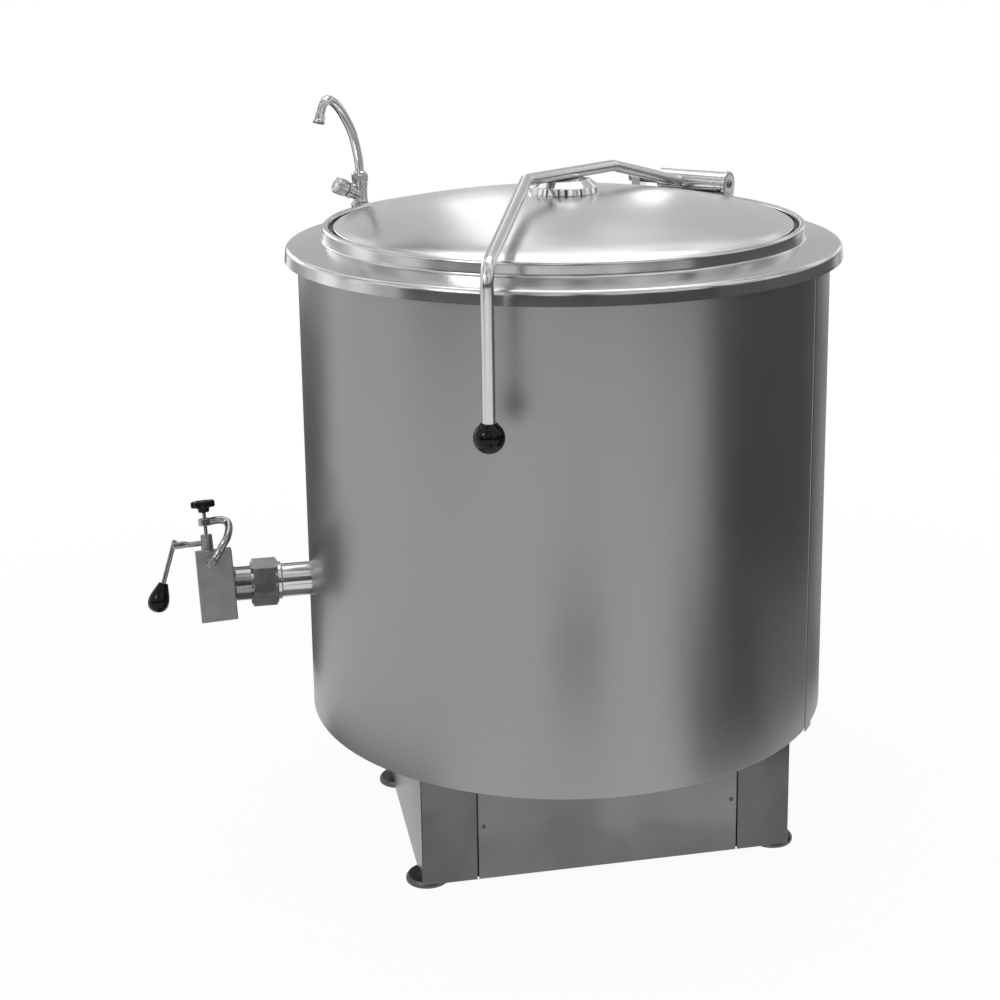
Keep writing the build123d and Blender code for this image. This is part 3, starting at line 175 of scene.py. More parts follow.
PEAR_PROFILE = ((7.0, 0.0), (9.2, 6.0), (13.4, 17.0), (15.6, 28.0), (13.6, 37.5), (7.5, 43.0), (0.0, 44.5))
PIVOT = (-3.3, -33.6, 38.5)
PIVOT_R = 8.5
CLAMP_ROD_R = 5.8
PIVOT_DISC_OUT = 5.9
CLAMP_PATH = (
    (6.1, -33.6, 49.5), (14.2, -33.7, 61.8), (20.4, -32.0, 70.5), (24.9, -22.5, 79.5),
    (26.6, -10.5, 88.0), (24.0, -3.0, 94.5), (17.5, -0.5, 97.5), (-2.0, 0.0, 97.5),
)
EYE_R = 9.5
EYE_ENDS = (92.0, 103.0)
SCREW_R = 3.0
SCREW_TIP = 78.8
SCREW_PITCH = 1.0
THREAD_DEPTH = 0.55
STAR_R = 18.5
STAR_ENDS = (119.5, 130.0)
STAR_LOBES = 7
STAR_HUB_R = 8.7
STAR_HUB_LOW = 112.0

# Plinth
PLINTH_HALF = 276.0
PLINTH_FRONT = -288.0
PLINTH_REAR = 90.0
PLINTH_LOW = 11.0
PLINTH_TOP = 174.7
PLINTH_BEND = 3.0
SEAM_X = 195.0
SEAM_SHOWN = 1.25
PANEL_SCREW_X = 186.0
PANEL_SCREW_Z = 93.0
SCREW_HEAD_R = 3.0
PANEL_SCREW_AZIMUTHS = (84.0, 122.0)
PANEL_SCREW_RISE = 11.0
BRACKET_SCREWS_ALONG = (-40.0, 25.0)
FOOT_R = 32.0
FOOT_PAD = 9.0
FOOT_STEM_R = 6.0
FOOT_STEM_TOP = 60.0
FOOT_PLACES = {
    "foot_front_left": (-263.0, -248.0), "foot_front_right": (263.0, -248.0),
    "foot_rear_left": (-263.0, 75.0), "foot_rear_right": (263.0, 75.0),
}


# Shapes: a shell is a grid of points, closed round its columns, with its rows wrapped or capped

def unit(vectors):
    """Vectors divided by their lengths."""
    vectors = np.asarray(vectors, float)
    return vectors / np.linalg.norm(vectors, axis=-1, keepdims=True)


def direction(azimuth, rise=0.0):
    """Unit vector at an azimuth counted from the front and a rise above level."""
    turn, lift = radians(azimuth), radians(rise)
    return np.array([sin(turn) * cos(lift), -cos(turn) * cos(lift), sin(lift)])


def rounded(points, radius, steps=6, closed=False):
    """A line with an arc in each corner.

    In a corner of angle a, an arc of radius r starts r / tan(a / 2) from the corner. Its points are its
    centre plus r times a unit vector turned evenly from one tangent point to the other. One more point on
    each side keeps the shading flat beside the arc.
    """
    points = np.asarray(points, float)
    count = len(points)
    radii = np.broadcast_to(radius, count)
    rows = [] if closed else [points[:1]]
    for index in range(count) if closed else range(1, count - 1):
        corner = points[index]
        before = points[index - 1] - corner
        after = points[(index + 1) % count] - corner
        space = 0.46 * min(np.linalg.norm(before), np.linalg.norm(after))
        to_before, to_after = unit(before), unit(after)
        half = np.arccos(np.clip(to_before @ to_after, -1.0, 1.0)) / 2
        if radii[index] == 0 or half > 1.55:
            rows.append(corner[None])
            continue
        reach = min(radii[index] / np.tan(half), space)
        arc_radius = reach * np.tan(half)
        centre = corner + unit(to_before + to_after) * arc_radius / np.sin(half)
        start = unit(corner + to_before * reach - centre)
        end = unit(corner + to_after * reach - centre)
        share = np.linspace(0, 1, steps + 1)[:, None]
        angle = np.arccos(np.clip(start @ end, -1.0, 1.0))
        turned_vector = (np.sin((1 - share) * angle) * start + np.sin(share * angle) * end) / np.sin(angle)
        beside = min(reach + 0.5 * arc_radius, space * 1.05)
        rows += [(corner + to_before * beside)[None], centre + arc_radius * turned_vector,
                 (corner + to_after * beside)[None]]
    if not closed:
        rows.append(points[-1:])
    return np.concatenate(rows)


def through(points, count, start, end):
    """A smooth curve through points: cubic pieces with matching slopes and bends.

    The slopes m solve m[i-1] / h[i-1] + 2 m[i] (1 / h[i-1] + 1 / h[i]) + m[i+1] / h[i] =
    3 (d[i-1] / h[i-1] + d[i] / h[i]), with chord lengths h and chord slopes d, and given slopes at both ends.
    """
    points = np.asarray(points, float)
    chords = np.diff(points, axis=0)
    length = np.linalg.norm(chords, axis=1)
    slope = chords / length[:, None]
    inner = 1 / length
    matrix = np.eye(len(points))
    rows = np.arange(1, len(points) - 1)
    matrix[rows, rows - 1] = inner[:-1]
    matrix[rows, rows] = 2 * (inner[:-1] + inner[1:])
    matrix[rows, rows + 1] = inner[1:]
    bends = 3 * (slope[:-1] * inner[:-1, None] + slope[1:] * inner[1:, None])
    known = np.vstack([unit(start), bends, unit(end)])
    slopes = np.linalg.solve(matrix, known)
    place = np.concatenate([[0], np.cumsum(length)])
    at = np.linspace(0, place[-1], count)
    piece_index = np.clip(np.searchsorted(place, at, side="right") - 1, 0, len(length) - 1)
    h = length[piece_index][:, None]
    t = (at - place[piece_index])[:, None] / h
    first, second = points[piece_index], points[piece_index + 1]
    return ((2 * t**3 - 3 * t**2 + 1) * first + (t**3 - 2 * t**2 + t) * h * slopes[piece_index]
            + (3 * t**2 - 2 * t**3) * second + (t**3 - t**2) * h * slopes[piece_index + 1])


def sheet_outline(middle, thickness):
    """The closed section of a bent sheet: its middle line moved half the thickness to each side."""
    along = segment_mean(middle)
    across = np.stack([-along[:, 1], along[:, 0]], 1) * thickness / 2
    return np.concatenate([middle + across, (middle - across)[::-1]])


def segment_mean(path):
    """The direction of a path at each point: the mean of the two segments that meet there."""
    steps = unit(np.diff(path, axis=0))
    return unit(np.concatenate([steps[:1], steps[:-1] + steps[1:], steps[-1:]]))


def turned(outline, steps=180, start=0.0, sweep=360.0):
    """Turn an outline of (radius, height) about the upright axis: x = r cos a, y = r sin a, z = height."""
    outline = np.asarray(outline, float)
    whole = sweep >= 360
    angles = radians(start) + np.linspace(0, radians(sweep), steps, endpoint=not whole)
    radius, height = outline.T
    grid = np.stack([np.outer(np.cos(angles), radius), np.outer(np.sin(angles), radius),
                     np.broadcast_to(height, (steps, len(height)))], -1)
    if whole and radius[0] == 0 and radius[-1] == 0:
        return grid.transpose(1, 0, 2), False
    return grid, whole


def lathe(profile, radii, arc_steps, steps, closed=False):
    """Turn a profile with rounded corners about the upright axis."""
    return turned(rounded(profile, radii, arc_steps, closed), steps)


def drum(radius, low, high, edge, steps=48):
    """A round solid with rounded rims."""
    return lathe([(0, low), (radius, low), (radius, high), (0, high)], edge, 4, steps)


def swept(path, section, side=UP):
    """Carry a closed section along a path.

    Each point is the path's point plus the section's first value times (direction x side) and its second
    value times the vector square to both.
    """
    path = np.asarray(path, float)
    along = segment_mean(path)
    across = unit(np.cross(along, side))
    upward = np.cross(across, along)
    section = np.asarray(section, float)
    return path[:, None] + across[:, None] * section[..., :1] + upward[:, None] * section[..., 1:], False


def circle(radius, steps):
    """Points (r cos a, r sin a); a column of radii gives one circle for each."""
    angles = np.linspace(0, 2 * pi, steps, endpoint=False)
    radius = np.asarray(radius, float)[..., None]
    return np.stack([radius * np.cos(angles), radius * np.sin(angles)], -1)


def tube(path, radius, side=UP, steps=28):
    """A round bar along a path, of one radius or one for each point."""
    return swept(path, circle(np.broadcast_to(radius, len(path)), steps), side)


def strip(plan, low, high):
    """A standing sheet along a line in plan, with slightly rounded edges."""
    half = SHEET / 2
    section = rounded([(-half, low), (half, low), (half, high), (-half, high)], SHEET_EDGE, 2, closed=True)
    plan = np.asarray(plan, float)
    return swept(np.column_stack([plan, np.zeros(len(plan))]), section)


def slab(outline, low, high, edge, bore=None, steps=4):
    """A plate whose rims are rounded, with or without a round hole.

    At a rim the outline moves along its normals from edge (1 - sin t) inside while the height goes by
    edge (1 - cos t), with t from 0 to a right angle.
    With a bore (x, y, radius below, radius above), the rows go on round a hole, whose points lie on the rays
    from its middle to the outline's points.
    """
    outline = np.asarray(outline, float)
    along = unit(np.roll(outline, -1, 0) - np.roll(outline, 1, 0))
    area = np.sum(outline[:, 0] * np.roll(outline[:, 1], -1) - outline[:, 1] * np.roll(outline[:, 0], -1))
    inward = np.stack([-along[:, 1], along[:, 0]], 1) * np.sign(area)
    turn = np.linspace(0, pi / 2, steps + 1)
    inset = np.concatenate([[edge * 1.5], edge * (1 - np.sin(turn)), [0]])
    rise = np.concatenate([[0], edge * (1 - np.cos(turn)), [edge * 1.5]])
    inset = np.concatenate([inset, inset[::-1]])
    height = np.concatenate([low + rise, high - rise[::-1]])
    rows = np.empty((len(inset), len(outline), 3))
    rows[..., :2] = outline + inward * inset[:, None, None]
    rows[..., 2] = height[:, None]
    if bore is None:
        return rows, False
    middle = np.array(bore[:2])
    ray = unit(outline - middle)
    hole = np.empty((4, len(outline), 3))
    hole_radius = np.array([bore[3] + 0.4, bore[3], bore[2], bore[2] + 0.4])
    hole[..., :2] = middle + ray * hole_radius[:, None, None]
    hole[..., 2] = np.array([high, high - 0.4, low + 0.4, low])[:, None]
    return np.concatenate([rows, hole]), True


def lobed(outline, rows, steps, wrapped=False):
    """An upright form of radius min(outline(angle) - inset, limit), in rows of (height, inset, limit)."""
    angles = np.linspace(0, 2 * pi, steps, endpoint=False)
    height, inset, limit = np.asarray(rows, float).T[:, :, None]
    radius = np.clip(np.minimum(outline(angles) - inset, limit), 0, None)
    heights = np.broadcast_to(height, radius.shape)
    return np.stack([radius * np.cos(angles), radius * np.sin(angles), heights], -1), wrapped


def hexagon(flats):
    """Radius of a hexagon with its flats square to 0, 60 ... degrees."""
    def radius(angles):
        return flats / 2 / np.cos((angles + pi / 6) % (pi / 3) - pi / 6)
    return radius


def scalloped(outer, count, notch, notch_centre, blur):
    """Radius of a knob with round notches.

    At an angle a from the middle of a notch of radius n, whose centre is d from the axis, it is
    d cos a - sqrt(n^2 - (d sin a)^2). Each value is then the mean of its neighbours.
    """
    def radius(angles):
        away = (angles + pi / count) % (2 * pi / count) - pi / count
        half_chord = notch**2 - (notch_centre * np.sin(away)) ** 2
        inner = notch_centre * np.cos(away) - np.sqrt(np.clip(half_chord, 0, None))
        plain = np.where(half_chord > 0, np.minimum(inner, outer), outer)
        return np.mean([np.roll(plain, shift) for shift in range(-blur, blur + 1)], axis=0)
    return radius


def set_on(origin, axis, *shells):
    """Lay shells drawn about the upright axis on another origin and axis."""
    axis = unit(axis)
    side = np.array([0.0, 1.0, 0.0]) if abs(axis @ UP) > 0.99 else UP
    across = unit(np.cross(side, axis))
    basis = np.stack([np.cross(across, axis), across, axis], 1)
    return [(grid @ basis.T + np.asarray(origin, float), wrapped) for grid, wrapped in shells]


def moved(offset, *shells):
    """Shells moved by an offset."""
    return [(grid + np.asarray(offset, float), wrapped) for grid, wrapped in shells]


valve_turn = Matrix.Rotation(radians(-VALVE_LEAN), 3, "X") @ Matrix.Rotation(radians(-VALVE_TILT), 3, "Y")
VALVE_BASIS = np.array(valve_turn)


def on_valve(*shells):
    """Shells drawn in the valve's own frame, leaned about the drain line and moved to the valve."""
    return [(grid @ VALVE_BASIS.T + np.array([VALVE_X, 0.0, DRAIN_Z]), wrapped) for grid, wrapped in shells]


def grid_faces(rows, columns, wrapped):
    """Corner numbers of the four-sided faces of a grid closed round its columns."""
    number = np.arange(rows * columns).reshape(rows, columns)
    if wrapped:
        number = np.vstack([number, number[:1]])
    right = np.roll(number, -1, axis=1)
    return np.stack([number[:-1], right[:-1], right[1:], number[1:]], -1).reshape(-1, 4)


def enclosed(points, faces):
    """Six times the signed volume: the sum of the triple products of each face's two triangles."""
    a, b, c, d = (points[faces[:, corner]] for corner in range(4))
    return np.sum(np.einsum("ij,ij->i", a, np.cross(b, c)) + np.einsum("ij,ij->i", a, np.cross(c, d)))


def placed(name, data):
    """A new object in the scene."""
    made = bpy.data.objects.new(name, data)
    bpy.context.scene.collection.objects.link(made)
    return made


node_slot = {part["node"]: part["material_slot"] for part in frame["record"]["subparts"]}


def piece(node, body, finish, shells, sharp=32.0, name=None):
    """Join shells into one object that stands for a CAD node, with faces outwards and poles merged."""
    all_points, all_faces, count = [], [], 0
    for grid, wrapped in shells:
        if not wrapped:
            first, last = (np.broadcast_to(row.mean((0, 1)), row.shape) for row in (grid[:1], grid[-1:]))
            grid = np.concatenate([first, grid, last])
        points = grid.reshape(-1, 3)
        faces = grid_faces(grid.shape[0], grid.shape[1], wrapped)
        if enclosed(points - points.mean(0), faces) < 0:
            faces = faces[:, ::-1]
        all_points.append(points)
        all_faces.append(faces + count)
        count += len(points)
    mesh = bpy.data.meshes.new(node + "_surface")
    mesh.from_pydata(np.concatenate(all_points) / 1000 + KETTLE_AXIS, [], np.concatenate(all_faces).tolist())
    work = bmesh.new()
    work.from_mesh(mesh)
    bmesh.ops.remove_doubles(work, verts=work.verts, dist=1e-6)
    work.to_mesh(mesh)
    work.free()
    mesh.shade_smooth()
    mesh.set_sharp_from_angle(angle=radians(sharp))
    mesh.materials.append(finish)
    made = placed((name or node) + "_surface", mesh)
    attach(made, body)
    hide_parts(node)


# Finishes

VECTOR, NUMBER = "NodeSocketVector", "NodeSocketFloat"
MOULDED_PATCH = 25.0


def feed(tree, made, values):
    """Give a node's inputs their values; a value that is a socket is linked."""
    for label, value in dict(values).items():
        if isinstance(value, bpy.types.NodeSocket):
            tree.links.new(value, made.inputs[label])
        else:
            made.inputs[label].default_value = value


def node(tree, kind, values=(), **settings):
    """Add a node, set its own settings and feed its inputs."""
    made = tree.nodes.new(kind)
    for label, value in settings.items():
        setattr(made, label, value)
    feed(tree, made, values)
    return made


def between(tree, value, low, high, start=0.0, end=1.0, kind="LINEAR"):
    """Map a value from start..end to low..high."""
    values = {"Value": value, "From Min": start, "From Max": end, "To Min": low, "To Max": high}
    return node(tree, "ShaderNodeMapRange", values, interpolation_type=kind).outputs["Result"]


def new_group(name, inputs, output, output_kind):
    """A node group with one output; each input is its name, socket type and value or None."""
    group = bpy.data.node_groups.new(name, "ShaderNodeTree")
    for label, kind, value in inputs:
        socket = group.interface.new_socket(label, in_out="INPUT", socket_type=kind)
        if value is not None:
            socket.default_value = value
    group.interface.new_socket(output, in_out="OUTPUT", socket_type=output_kind)
    return group, group.nodes.new("NodeGroupInput").outputs, group.nodes.new("NodeGroupOutput")


def grain_group():
    """Fine parallel scratches: noise on coordinates that are stretched along the grain."""
    group, given, sink = new_group(
        "Grain", [("Vector", VECTOR, None), ("Stretch", VECTOR, (2.0, 2.0, 600.0))], "Lines", NUMBER)
    scaled = node(group, "ShaderNodeVectorMath", {
        0: given["Vector"], 1: given["Stretch"]}, operation="MULTIPLY")
    noise = node(group, "ShaderNodeTexNoise", {
        "Vector": scaled.outputs["Vector"], "Scale": 1.0, "Detail": 3.0, "Roughness": 0.6})
    feed(group, sink, {"Lines": noise.outputs["Fac"]})
    return group


def handling_group():
    """Soft uneven patches, as wiping and handling leave on steel."""
    group, given, sink = new_group(
        "Handling", [("Vector", VECTOR, None), ("Size", NUMBER, 4.0)], "Patches", NUMBER)
    noise = node(group, "ShaderNodeTexNoise", {
        "Vector": given["Vector"], "Scale": given["Size"], "Detail": 2.0, "Roughness": 0.5,
        "Distortion": 0.6})
    feed(group, sink, {"Patches": between(group, noise.outputs["Fac"], 0.0, 1.0, 0.3, 0.7, "SMOOTHSTEP")})
    return group


def spun_group():
    """Coordinates for marks that run round an upright axis: distance from the axis, angle, height."""
    group, given, sink = new_group("Spun", [("Vector", VECTOR, None)], "Vector", VECTOR)
    flat = node(group, "ShaderNodeVectorMath", {0: given["Vector"], 1: (1.0, 1.0, 0.0)}, operation="MULTIPLY")
    away = node(group, "ShaderNodeVectorMath", {0: flat.outputs["Vector"]}, operation="LENGTH")
    parts = node(group, "ShaderNodeSeparateXYZ", {0: given["Vector"]}).outputs
    angle = node(group, "ShaderNodeMath", {0: parts["Y"], 1: parts["X"]}, operation="ARCTAN2")
    joined = node(group, "ShaderNodeCombineXYZ", {
        "X": away.outputs["Value"], "Y": angle.outputs["Value"], "Z": parts["Z"]})
    feed(group, sink, {"Vector": joined.outputs["Vector"]})
    return group


GRAIN = grain_group()
HANDLING = handling_group()
SPUN = spun_group()


def grouped(tree, group, values):
    """Place a node group, feed its inputs and give its output."""
    return node(tree, "ShaderNodeGroup", values, node_tree=group).outputs[0]


def new_finish(name):
    """A new material with its node tree and its shader."""
    made = bpy.data.materials.new(name)
    made.use_nodes = True
    return made, made.node_tree, made.node_tree.nodes["Principled BSDF"]


def tinted(tree, tone, spread, share):
    """A colour that goes from below to above its tone by a part of it."""
    values = {"Factor": share}
    for label, gain in (("A", 1 - spread), ("B", 1 + spread)):
        values[label] = tuple(min(channel * gain, 1.0) for channel in tone) + (1.0,)
    return node(tree, "ShaderNodeMix", values, data_type="RGBA").outputs["Result"]


def metal(name, tone, roughness, stretch, depth, patch, spread, streak, spun=False):
    """A metal finish: its colour and roughness vary with patches and with the grain, which also gives a bump.

    tone is the colour, roughness its mean, stretch the grain's fineness along each axis and depth its height
    in metres. A larger patch value makes smaller patches; spread and streak are the part of the colour that
    patches and grain change.
    """
    made, tree, shader = new_finish(name)
    place = node(tree, "ShaderNodeTexCoord").outputs["Object"]
    mapping = node(tree, "ShaderNodeMapping", {"Vector": place, "Location": -Vector(KETTLE_AXIS)})
    centred = mapping.outputs["Vector"]
    along = grouped(tree, SPUN, {"Vector": centred}) if spun else centred
    grain = grouped(tree, GRAIN, {"Vector": along, "Stretch": stretch})
    patches = grouped(tree, HANDLING, {"Vector": centred, "Size": patch})
    streaks = node(tree, "ShaderNodeMix", {
        "Factor": 1.0, "A": tinted(tree, tone, spread, patches),
        "B": between(tree, grain, 1 - 2 * streak, 1 + 2 * streak)}, data_type="RGBA", blend_type="MULTIPLY")
    shine = node(tree, "ShaderNodeMath", {
        0: between(tree, patches, roughness * 0.9, roughness * 1.06),
        1: between(tree, grain, -0.12 * roughness, 0.16 * roughness)}, operation="ADD")
    bump = node(tree, "ShaderNodeBump", {"Strength": 1.0, "Distance": depth, "Height": grain})
    feed(tree, shader, {
        "Metallic": 1.0, "Base Color": streaks.outputs["Result"], "Roughness": shine.outputs["Value"],
        "Normal": bump.outputs["Normal"]})
    return made


def moulded(name, tone, roughness, pores, depth, specular=0.5):
    """A plastic, rubber or fibre finish: small pores as a bump, and patches in colour and roughness."""
    made, tree, shader = new_finish(name)
    place = node(tree, "ShaderNodeTexCoord").outputs["Object"]
    fine = node(tree, "ShaderNodeTexNoise", {"Vector": place, "Scale": pores, "Detail": 2.0})
    patches = grouped(tree, HANDLING, {"Vector": place, "Size": MOULDED_PATCH})
    bump = node(tree, "ShaderNodeBump", {"Strength": 0.6, "Distance": depth, "Height": fine.outputs["Fac"]})
    feed(tree, shader, {
        "Base Color": tinted(tree, tone, 0.15, patches), "Specular IOR Level": specular,
        "Roughness": between(tree, patches, roughness * 0.85, roughness * 1.2),
        "Normal": bump.outputs["Normal"]})
    return made


CASING_STEEL = metal("casing steel", (0.31, 0.31, 0.31), 0.34, (3, 3, 900), 2e-5, 3, 0.03, 0.03)
PLINTH_STEEL = metal("plinth steel", (0.18, 0.18, 0.18), 0.3, (4, 4, 900), 2e-5, 5, 0.2, 0.04)
COVER_STEEL = metal("cover steel", (0.125, 0.125, 0.125), 0.3, (4, 4, 900), 2e-5, 7, 0.16, 0.04)
RIM_STEEL = metal("rim steel", (0.57, 0.57, 0.565), 0.19, (700, 1, 300), 1.2e-5, 6, 0.04, 0.02, spun=True)
LID_STEEL = metal("lid steel", (0.66, 0.66, 0.655), 0.22, (420, 1, 60), 1e-5, 5, 0.03, 0.012, spun=True)
BAR_STEEL = metal("bar steel", (0.6, 0.6, 0.595), 0.2, (300, 300, 300), 6e-6, 20, 0.04, 0.02)
BOSS_STEEL = metal("boss steel", (0.72, 0.72, 0.71), 0.1, (500, 1, 500), 1e-5, 30, 0.06, 0.03, spun=True)
TUBE_STEEL = metal("tube steel", (0.6, 0.6, 0.59), 0.16, (40, 600, 600), 1e-5, 16, 0.05, 0.04)
VALVE_STEEL = metal("valve steel", (0.3, 0.3, 0.3), 0.42, (60, 900, 300), 2e-5, 40, 0.06, 0.05)
BOWL_STEEL = metal("bowl steel", (0.6, 0.6, 0.59), 0.28, (500, 1, 500), 2e-5, 5, 0.04, 0.03, spun=True)
CHROME = metal("chrome", (0.5, 0.5, 0.505), 0.05, (120, 120, 120), 2e-6, 45, 0.03, 0.01)
TURNED_STEEL = metal("turned steel", (0.4, 0.4, 0.4), 0.17, (600, 40, 600), 1e-5, 30, 0.1, 0.05)
# A darker copy of the tube steel: its lower tone is painted shade on the valve's stretch of tube between the
# valve body and the union nut.
TUBE_STEEL_PAINTED_SHADE = metal("tube steel with painted shade", (0.26, 0.26, 0.26), 0.16, (40, 600, 600), 1e-5, 30, 0.1, 0.05)
LEVER_STEEL = metal("lever steel", (0.33, 0.33, 0.325), 0.2, (300, 300, 300), 1e-5, 60, 0.12, 0.04)
PLAIN_STEEL = metal("plain steel", (0.34, 0.34, 0.34), 0.4, (260, 260, 260), 3e-5, 18, 0.08, 0.05)
# The plinth frame's near-black tone is painted shade: it stands in for the shade inside the plinth, so that
# the seams between covers and panels read dark.
FRAME_STEEL_PAINTED_SHADE = metal("frame steel with painted shade", (0.05, 0.05, 0.05), 0.6, (90, 90, 90), 4e-5, 12, 0.2, 0.1)
FOOT_STEEL = metal("foot steel", (0.11, 0.11, 0.11), 0.42, (500, 500, 500), 2e-5, 30, 0.08, 0.05)
BRASS = metal("brass", (0.62, 0.45, 0.2), 0.28, (300, 300, 300), 1e-5, 40, 0.08, 0.04)
SPRING_STEEL = metal("spring steel", (0.2, 0.2, 0.21), 0.35, (400, 400, 400), 1e-5, 60, 0.1, 0.05)
BLACK_PLASTIC = moulded("black plastic", (0.004, 0.004, 0.004), 0.1, 900, 1e-5, specular=0.2)
SEAL_RUBBER = moulded("seal rubber", (0.6, 0.59, 0.55), 0.6, 700, 5e-5)
WOOL = moulded("mineral wool", (0.55, 0.5, 0.3), 0.95, 260, 0.002)

SLOT_FINISH = {
    "satin_steel": CASING_STEEL, "polished_steel": BAR_STEEL, "chrome": CHROME, "plain_steel": PLAIN_STEEL,
    "black_plastic": BLACK_PLASTIC, "seal_rubber": SEAL_RUBBER, "wool": WOOL, "brass": BRASS,
    "spring_steel": SPRING_STEEL,
}
# plinth_frame takes the frame steel whose dark tone is painted shade.
NODE_FINISH = {
    "kettle_bowl": BOWL_STEEL, "plug": VALVE_STEEL, "steam_jacket": PLAIN_STEEL, "plinth_frame": FRAME_STEEL_PAINTED_SHADE,
    "drain_tube": TUBE_STEEL,
}
for name, solid in frame["nodes"].items():
    finish = NODE_FINISH.get(name, SLOT_FINISH[node_slot[name]])
    if not solid.material_slots:
        solid.data.materials.append(finish)
    for material_slot in solid.material_slots:
        material_slot.material = finish


# Casing: sheets whose seam edges are folded in towards the axis

def folded_casing(first, last):
    """Line in plan of a round sheet from one angle to the other, with a short fold inwards at each end.

    The sheet's middle follows the circle of its middle radius. Each fold runs to the axis, half a sheet
    inside the seam, and joins the circle with a bend.
    """
    middle = CASING_R - SHEET / 2
    inside = SHEET / 2 / middle

    def at(radius, angle):
        return np.array([radius * cos(angle), radius * sin(angle)])

    def folded(edge, inwards):
        flange = at(CASING_R - SEAM_FLANGE, edge)
        return rounded([flange, at(middle, edge), at(middle, edge + inwards)], SEAM_BEND)

    first, last = radians(first) + inside, radians(last) - inside
    lead = 4.0 / middle
    angles = np.linspace(first + 1.5 * lead, last - 1.5 * lead, int(np.degrees(last - first) / 1.25))
    around = middle * np.stack([np.cos(angles), np.sin(angles)], 1)
    return np.concatenate([folded(first, lead), around, folded(last, -lead)[::-1]])


panel_edge = PANEL_HALF_ANGLE
shell_edge = PANEL_HALF_ANGLE + SEAM_ANGLE
shell_plan = folded_casing(shell_edge, 360 - shell_edge)
piece("casing_shell", "kettle", CASING_STEEL, [strip(shell_plan, CASING_BOTTOM, CASING_TOP)])
tongue_outline = rounded(
    [(CASING_R - SHEET, CASING_BOTTOM - TONGUE_DROP), (CASING_R, CASING_BOTTOM - TONGUE_DROP),
     (CASING_R, CASING_BOTTOM + 1), (CASING_R - SHEET, CASING_BOTTOM + 1)], SHEET_EDGE, 2, closed=True)
tongue = turned(tongue_outline, 12, -panel_edge + 0.4, 4.0)
piece("service_panel", "kettle", CASING_STEEL,
      [strip(folded_casing(-panel_edge, panel_edge), CASING_BOTTOM, CASING_TOP), tongue])

# Top rim: the middle line of its sheet from the bowl flange over the collar and the plate to the lip
half_sheet = RIM_SHEET / 2
collar_in, collar_out = COLLAR_INNER_R + half_sheet, COLLAR_OUTER_R - half_sheet
rim_line = rounded([
    (collar_in, BOWL_FLANGE_TOP + 0.05), (collar_in, COLLAR_TOP - half_sheet),
    (collar_out, COLLAR_TOP - half_sheet), (collar_out + 0.6, PLATE_INNER_Z),
    PLATE_OUTER, (LIP_R - half_sheet, LIP_BOTTOM)], [0, 4.0, 4.0, 4.5, 6.0, 0], 8)
piece("top_rim", "kettle", RIM_STEEL, [turned(sheet_outline(rim_line, RIM_SHEET), 240)])


# Lid: a dome with a skirt and a hem, its seal and its boss

def dome_height(radius):
    """Height edge + rise (1 - s^2) + shoulder (1 - s^24), where s is the radius over the lid's."""
    share = radius / LID_R
    return LID_EDGE_Z + LID_RISE * (1 - share**2) + LID_SHOULDER * (1 - share**24)


dome_radius = (LID_R - 4.0) * (1 - np.linspace(1, 0, 40) ** 2.2)
dome_top = dome_height(dome_radius)
hem_top = LID_SKIRT_BOTTOM + LID_SHEET
lid_edge = rounded([
    (dome_radius[-1], dome_top[-1]), (LID_R, LID_EDGE_Z + 0.6), (LID_R, LID_SKIRT_BOTTOM),
    (LID_R - LID_HEM, LID_SKIRT_BOTTOM), (LID_R - LID_HEM, hem_top), (LID_R - LID_SHEET, hem_top),
    (LID_R - LID_SHEET, LID_EDGE_Z - 0.6), (dome_radius[-1] - 0.6, dome_top[-1] - LID_SHEET)],
    [0, 2.6, 1.6, 0.8, 0.5, 0.8, 1.5, 0], 5)
lid_outline = np.concatenate([
    np.column_stack([dome_radius, dome_top])[:-1], lid_edge,
    np.column_stack([dome_radius, dome_top - LID_SHEET])[-2::-1]])
piece("lid_shell", "lid", LID_STEEL, [turned(lid_outline, 240)])
seal_low = BOWL_FLANGE_TOP + 0.3
piece("lid_seal", "lid", SEAL_RUBBER, [lathe([
    (SEAL_INNER_R, seal_low), (SEAL_OUTER_R, seal_low), (SEAL_OUTER_R, LID_SKIRT_BOTTOM),
    (SEAL_INNER_R, LID_SKIRT_BOTTOM)], 1.6, 4, 200, closed=True)])
dome_at_boss = dome_height(BOSS_FOOT_R)
piece("lid_boss", "lid", BOSS_STEEL, [lathe([
    (0, dome_at_boss - 1), (BOSS_FOOT_R, dome_at_boss - 1), (BOSS_FOOT_R, dome_at_boss + 2.4),
    (BOSS_SHOULDER_R, BOSS_SHOULDER_Z), (BOSS_TOP_R + 1.5, BOSS_TOP_Z - 1.2), (BOSS_TOP_R - 4, BOSS_TOP_Z),
    (BOSS_TOP_R - 7, BOSS_TOP_Z - 1.6), (0, BOSS_TOP_Z - 1.6)],
    [0, 0.8, 1.5, 3.5, 2.0, 1.5, 1.5, 0], 6, 120)])

# Lever bar: a round bar with bends of one radius, and the ball on its end
hinge_along = np.array([1.0, -1.0, 0.0]) / np.sqrt(2)
hinge_across = np.array([1.0, 1.0, 0.0]) / np.sqrt(2)


def hinge_point(along, across=HINGE_RHO, height=HINGE_Z):
    """A point given along the hinge axis, across it and by height."""
    return hinge_along * along + hinge_across * across + UP * height


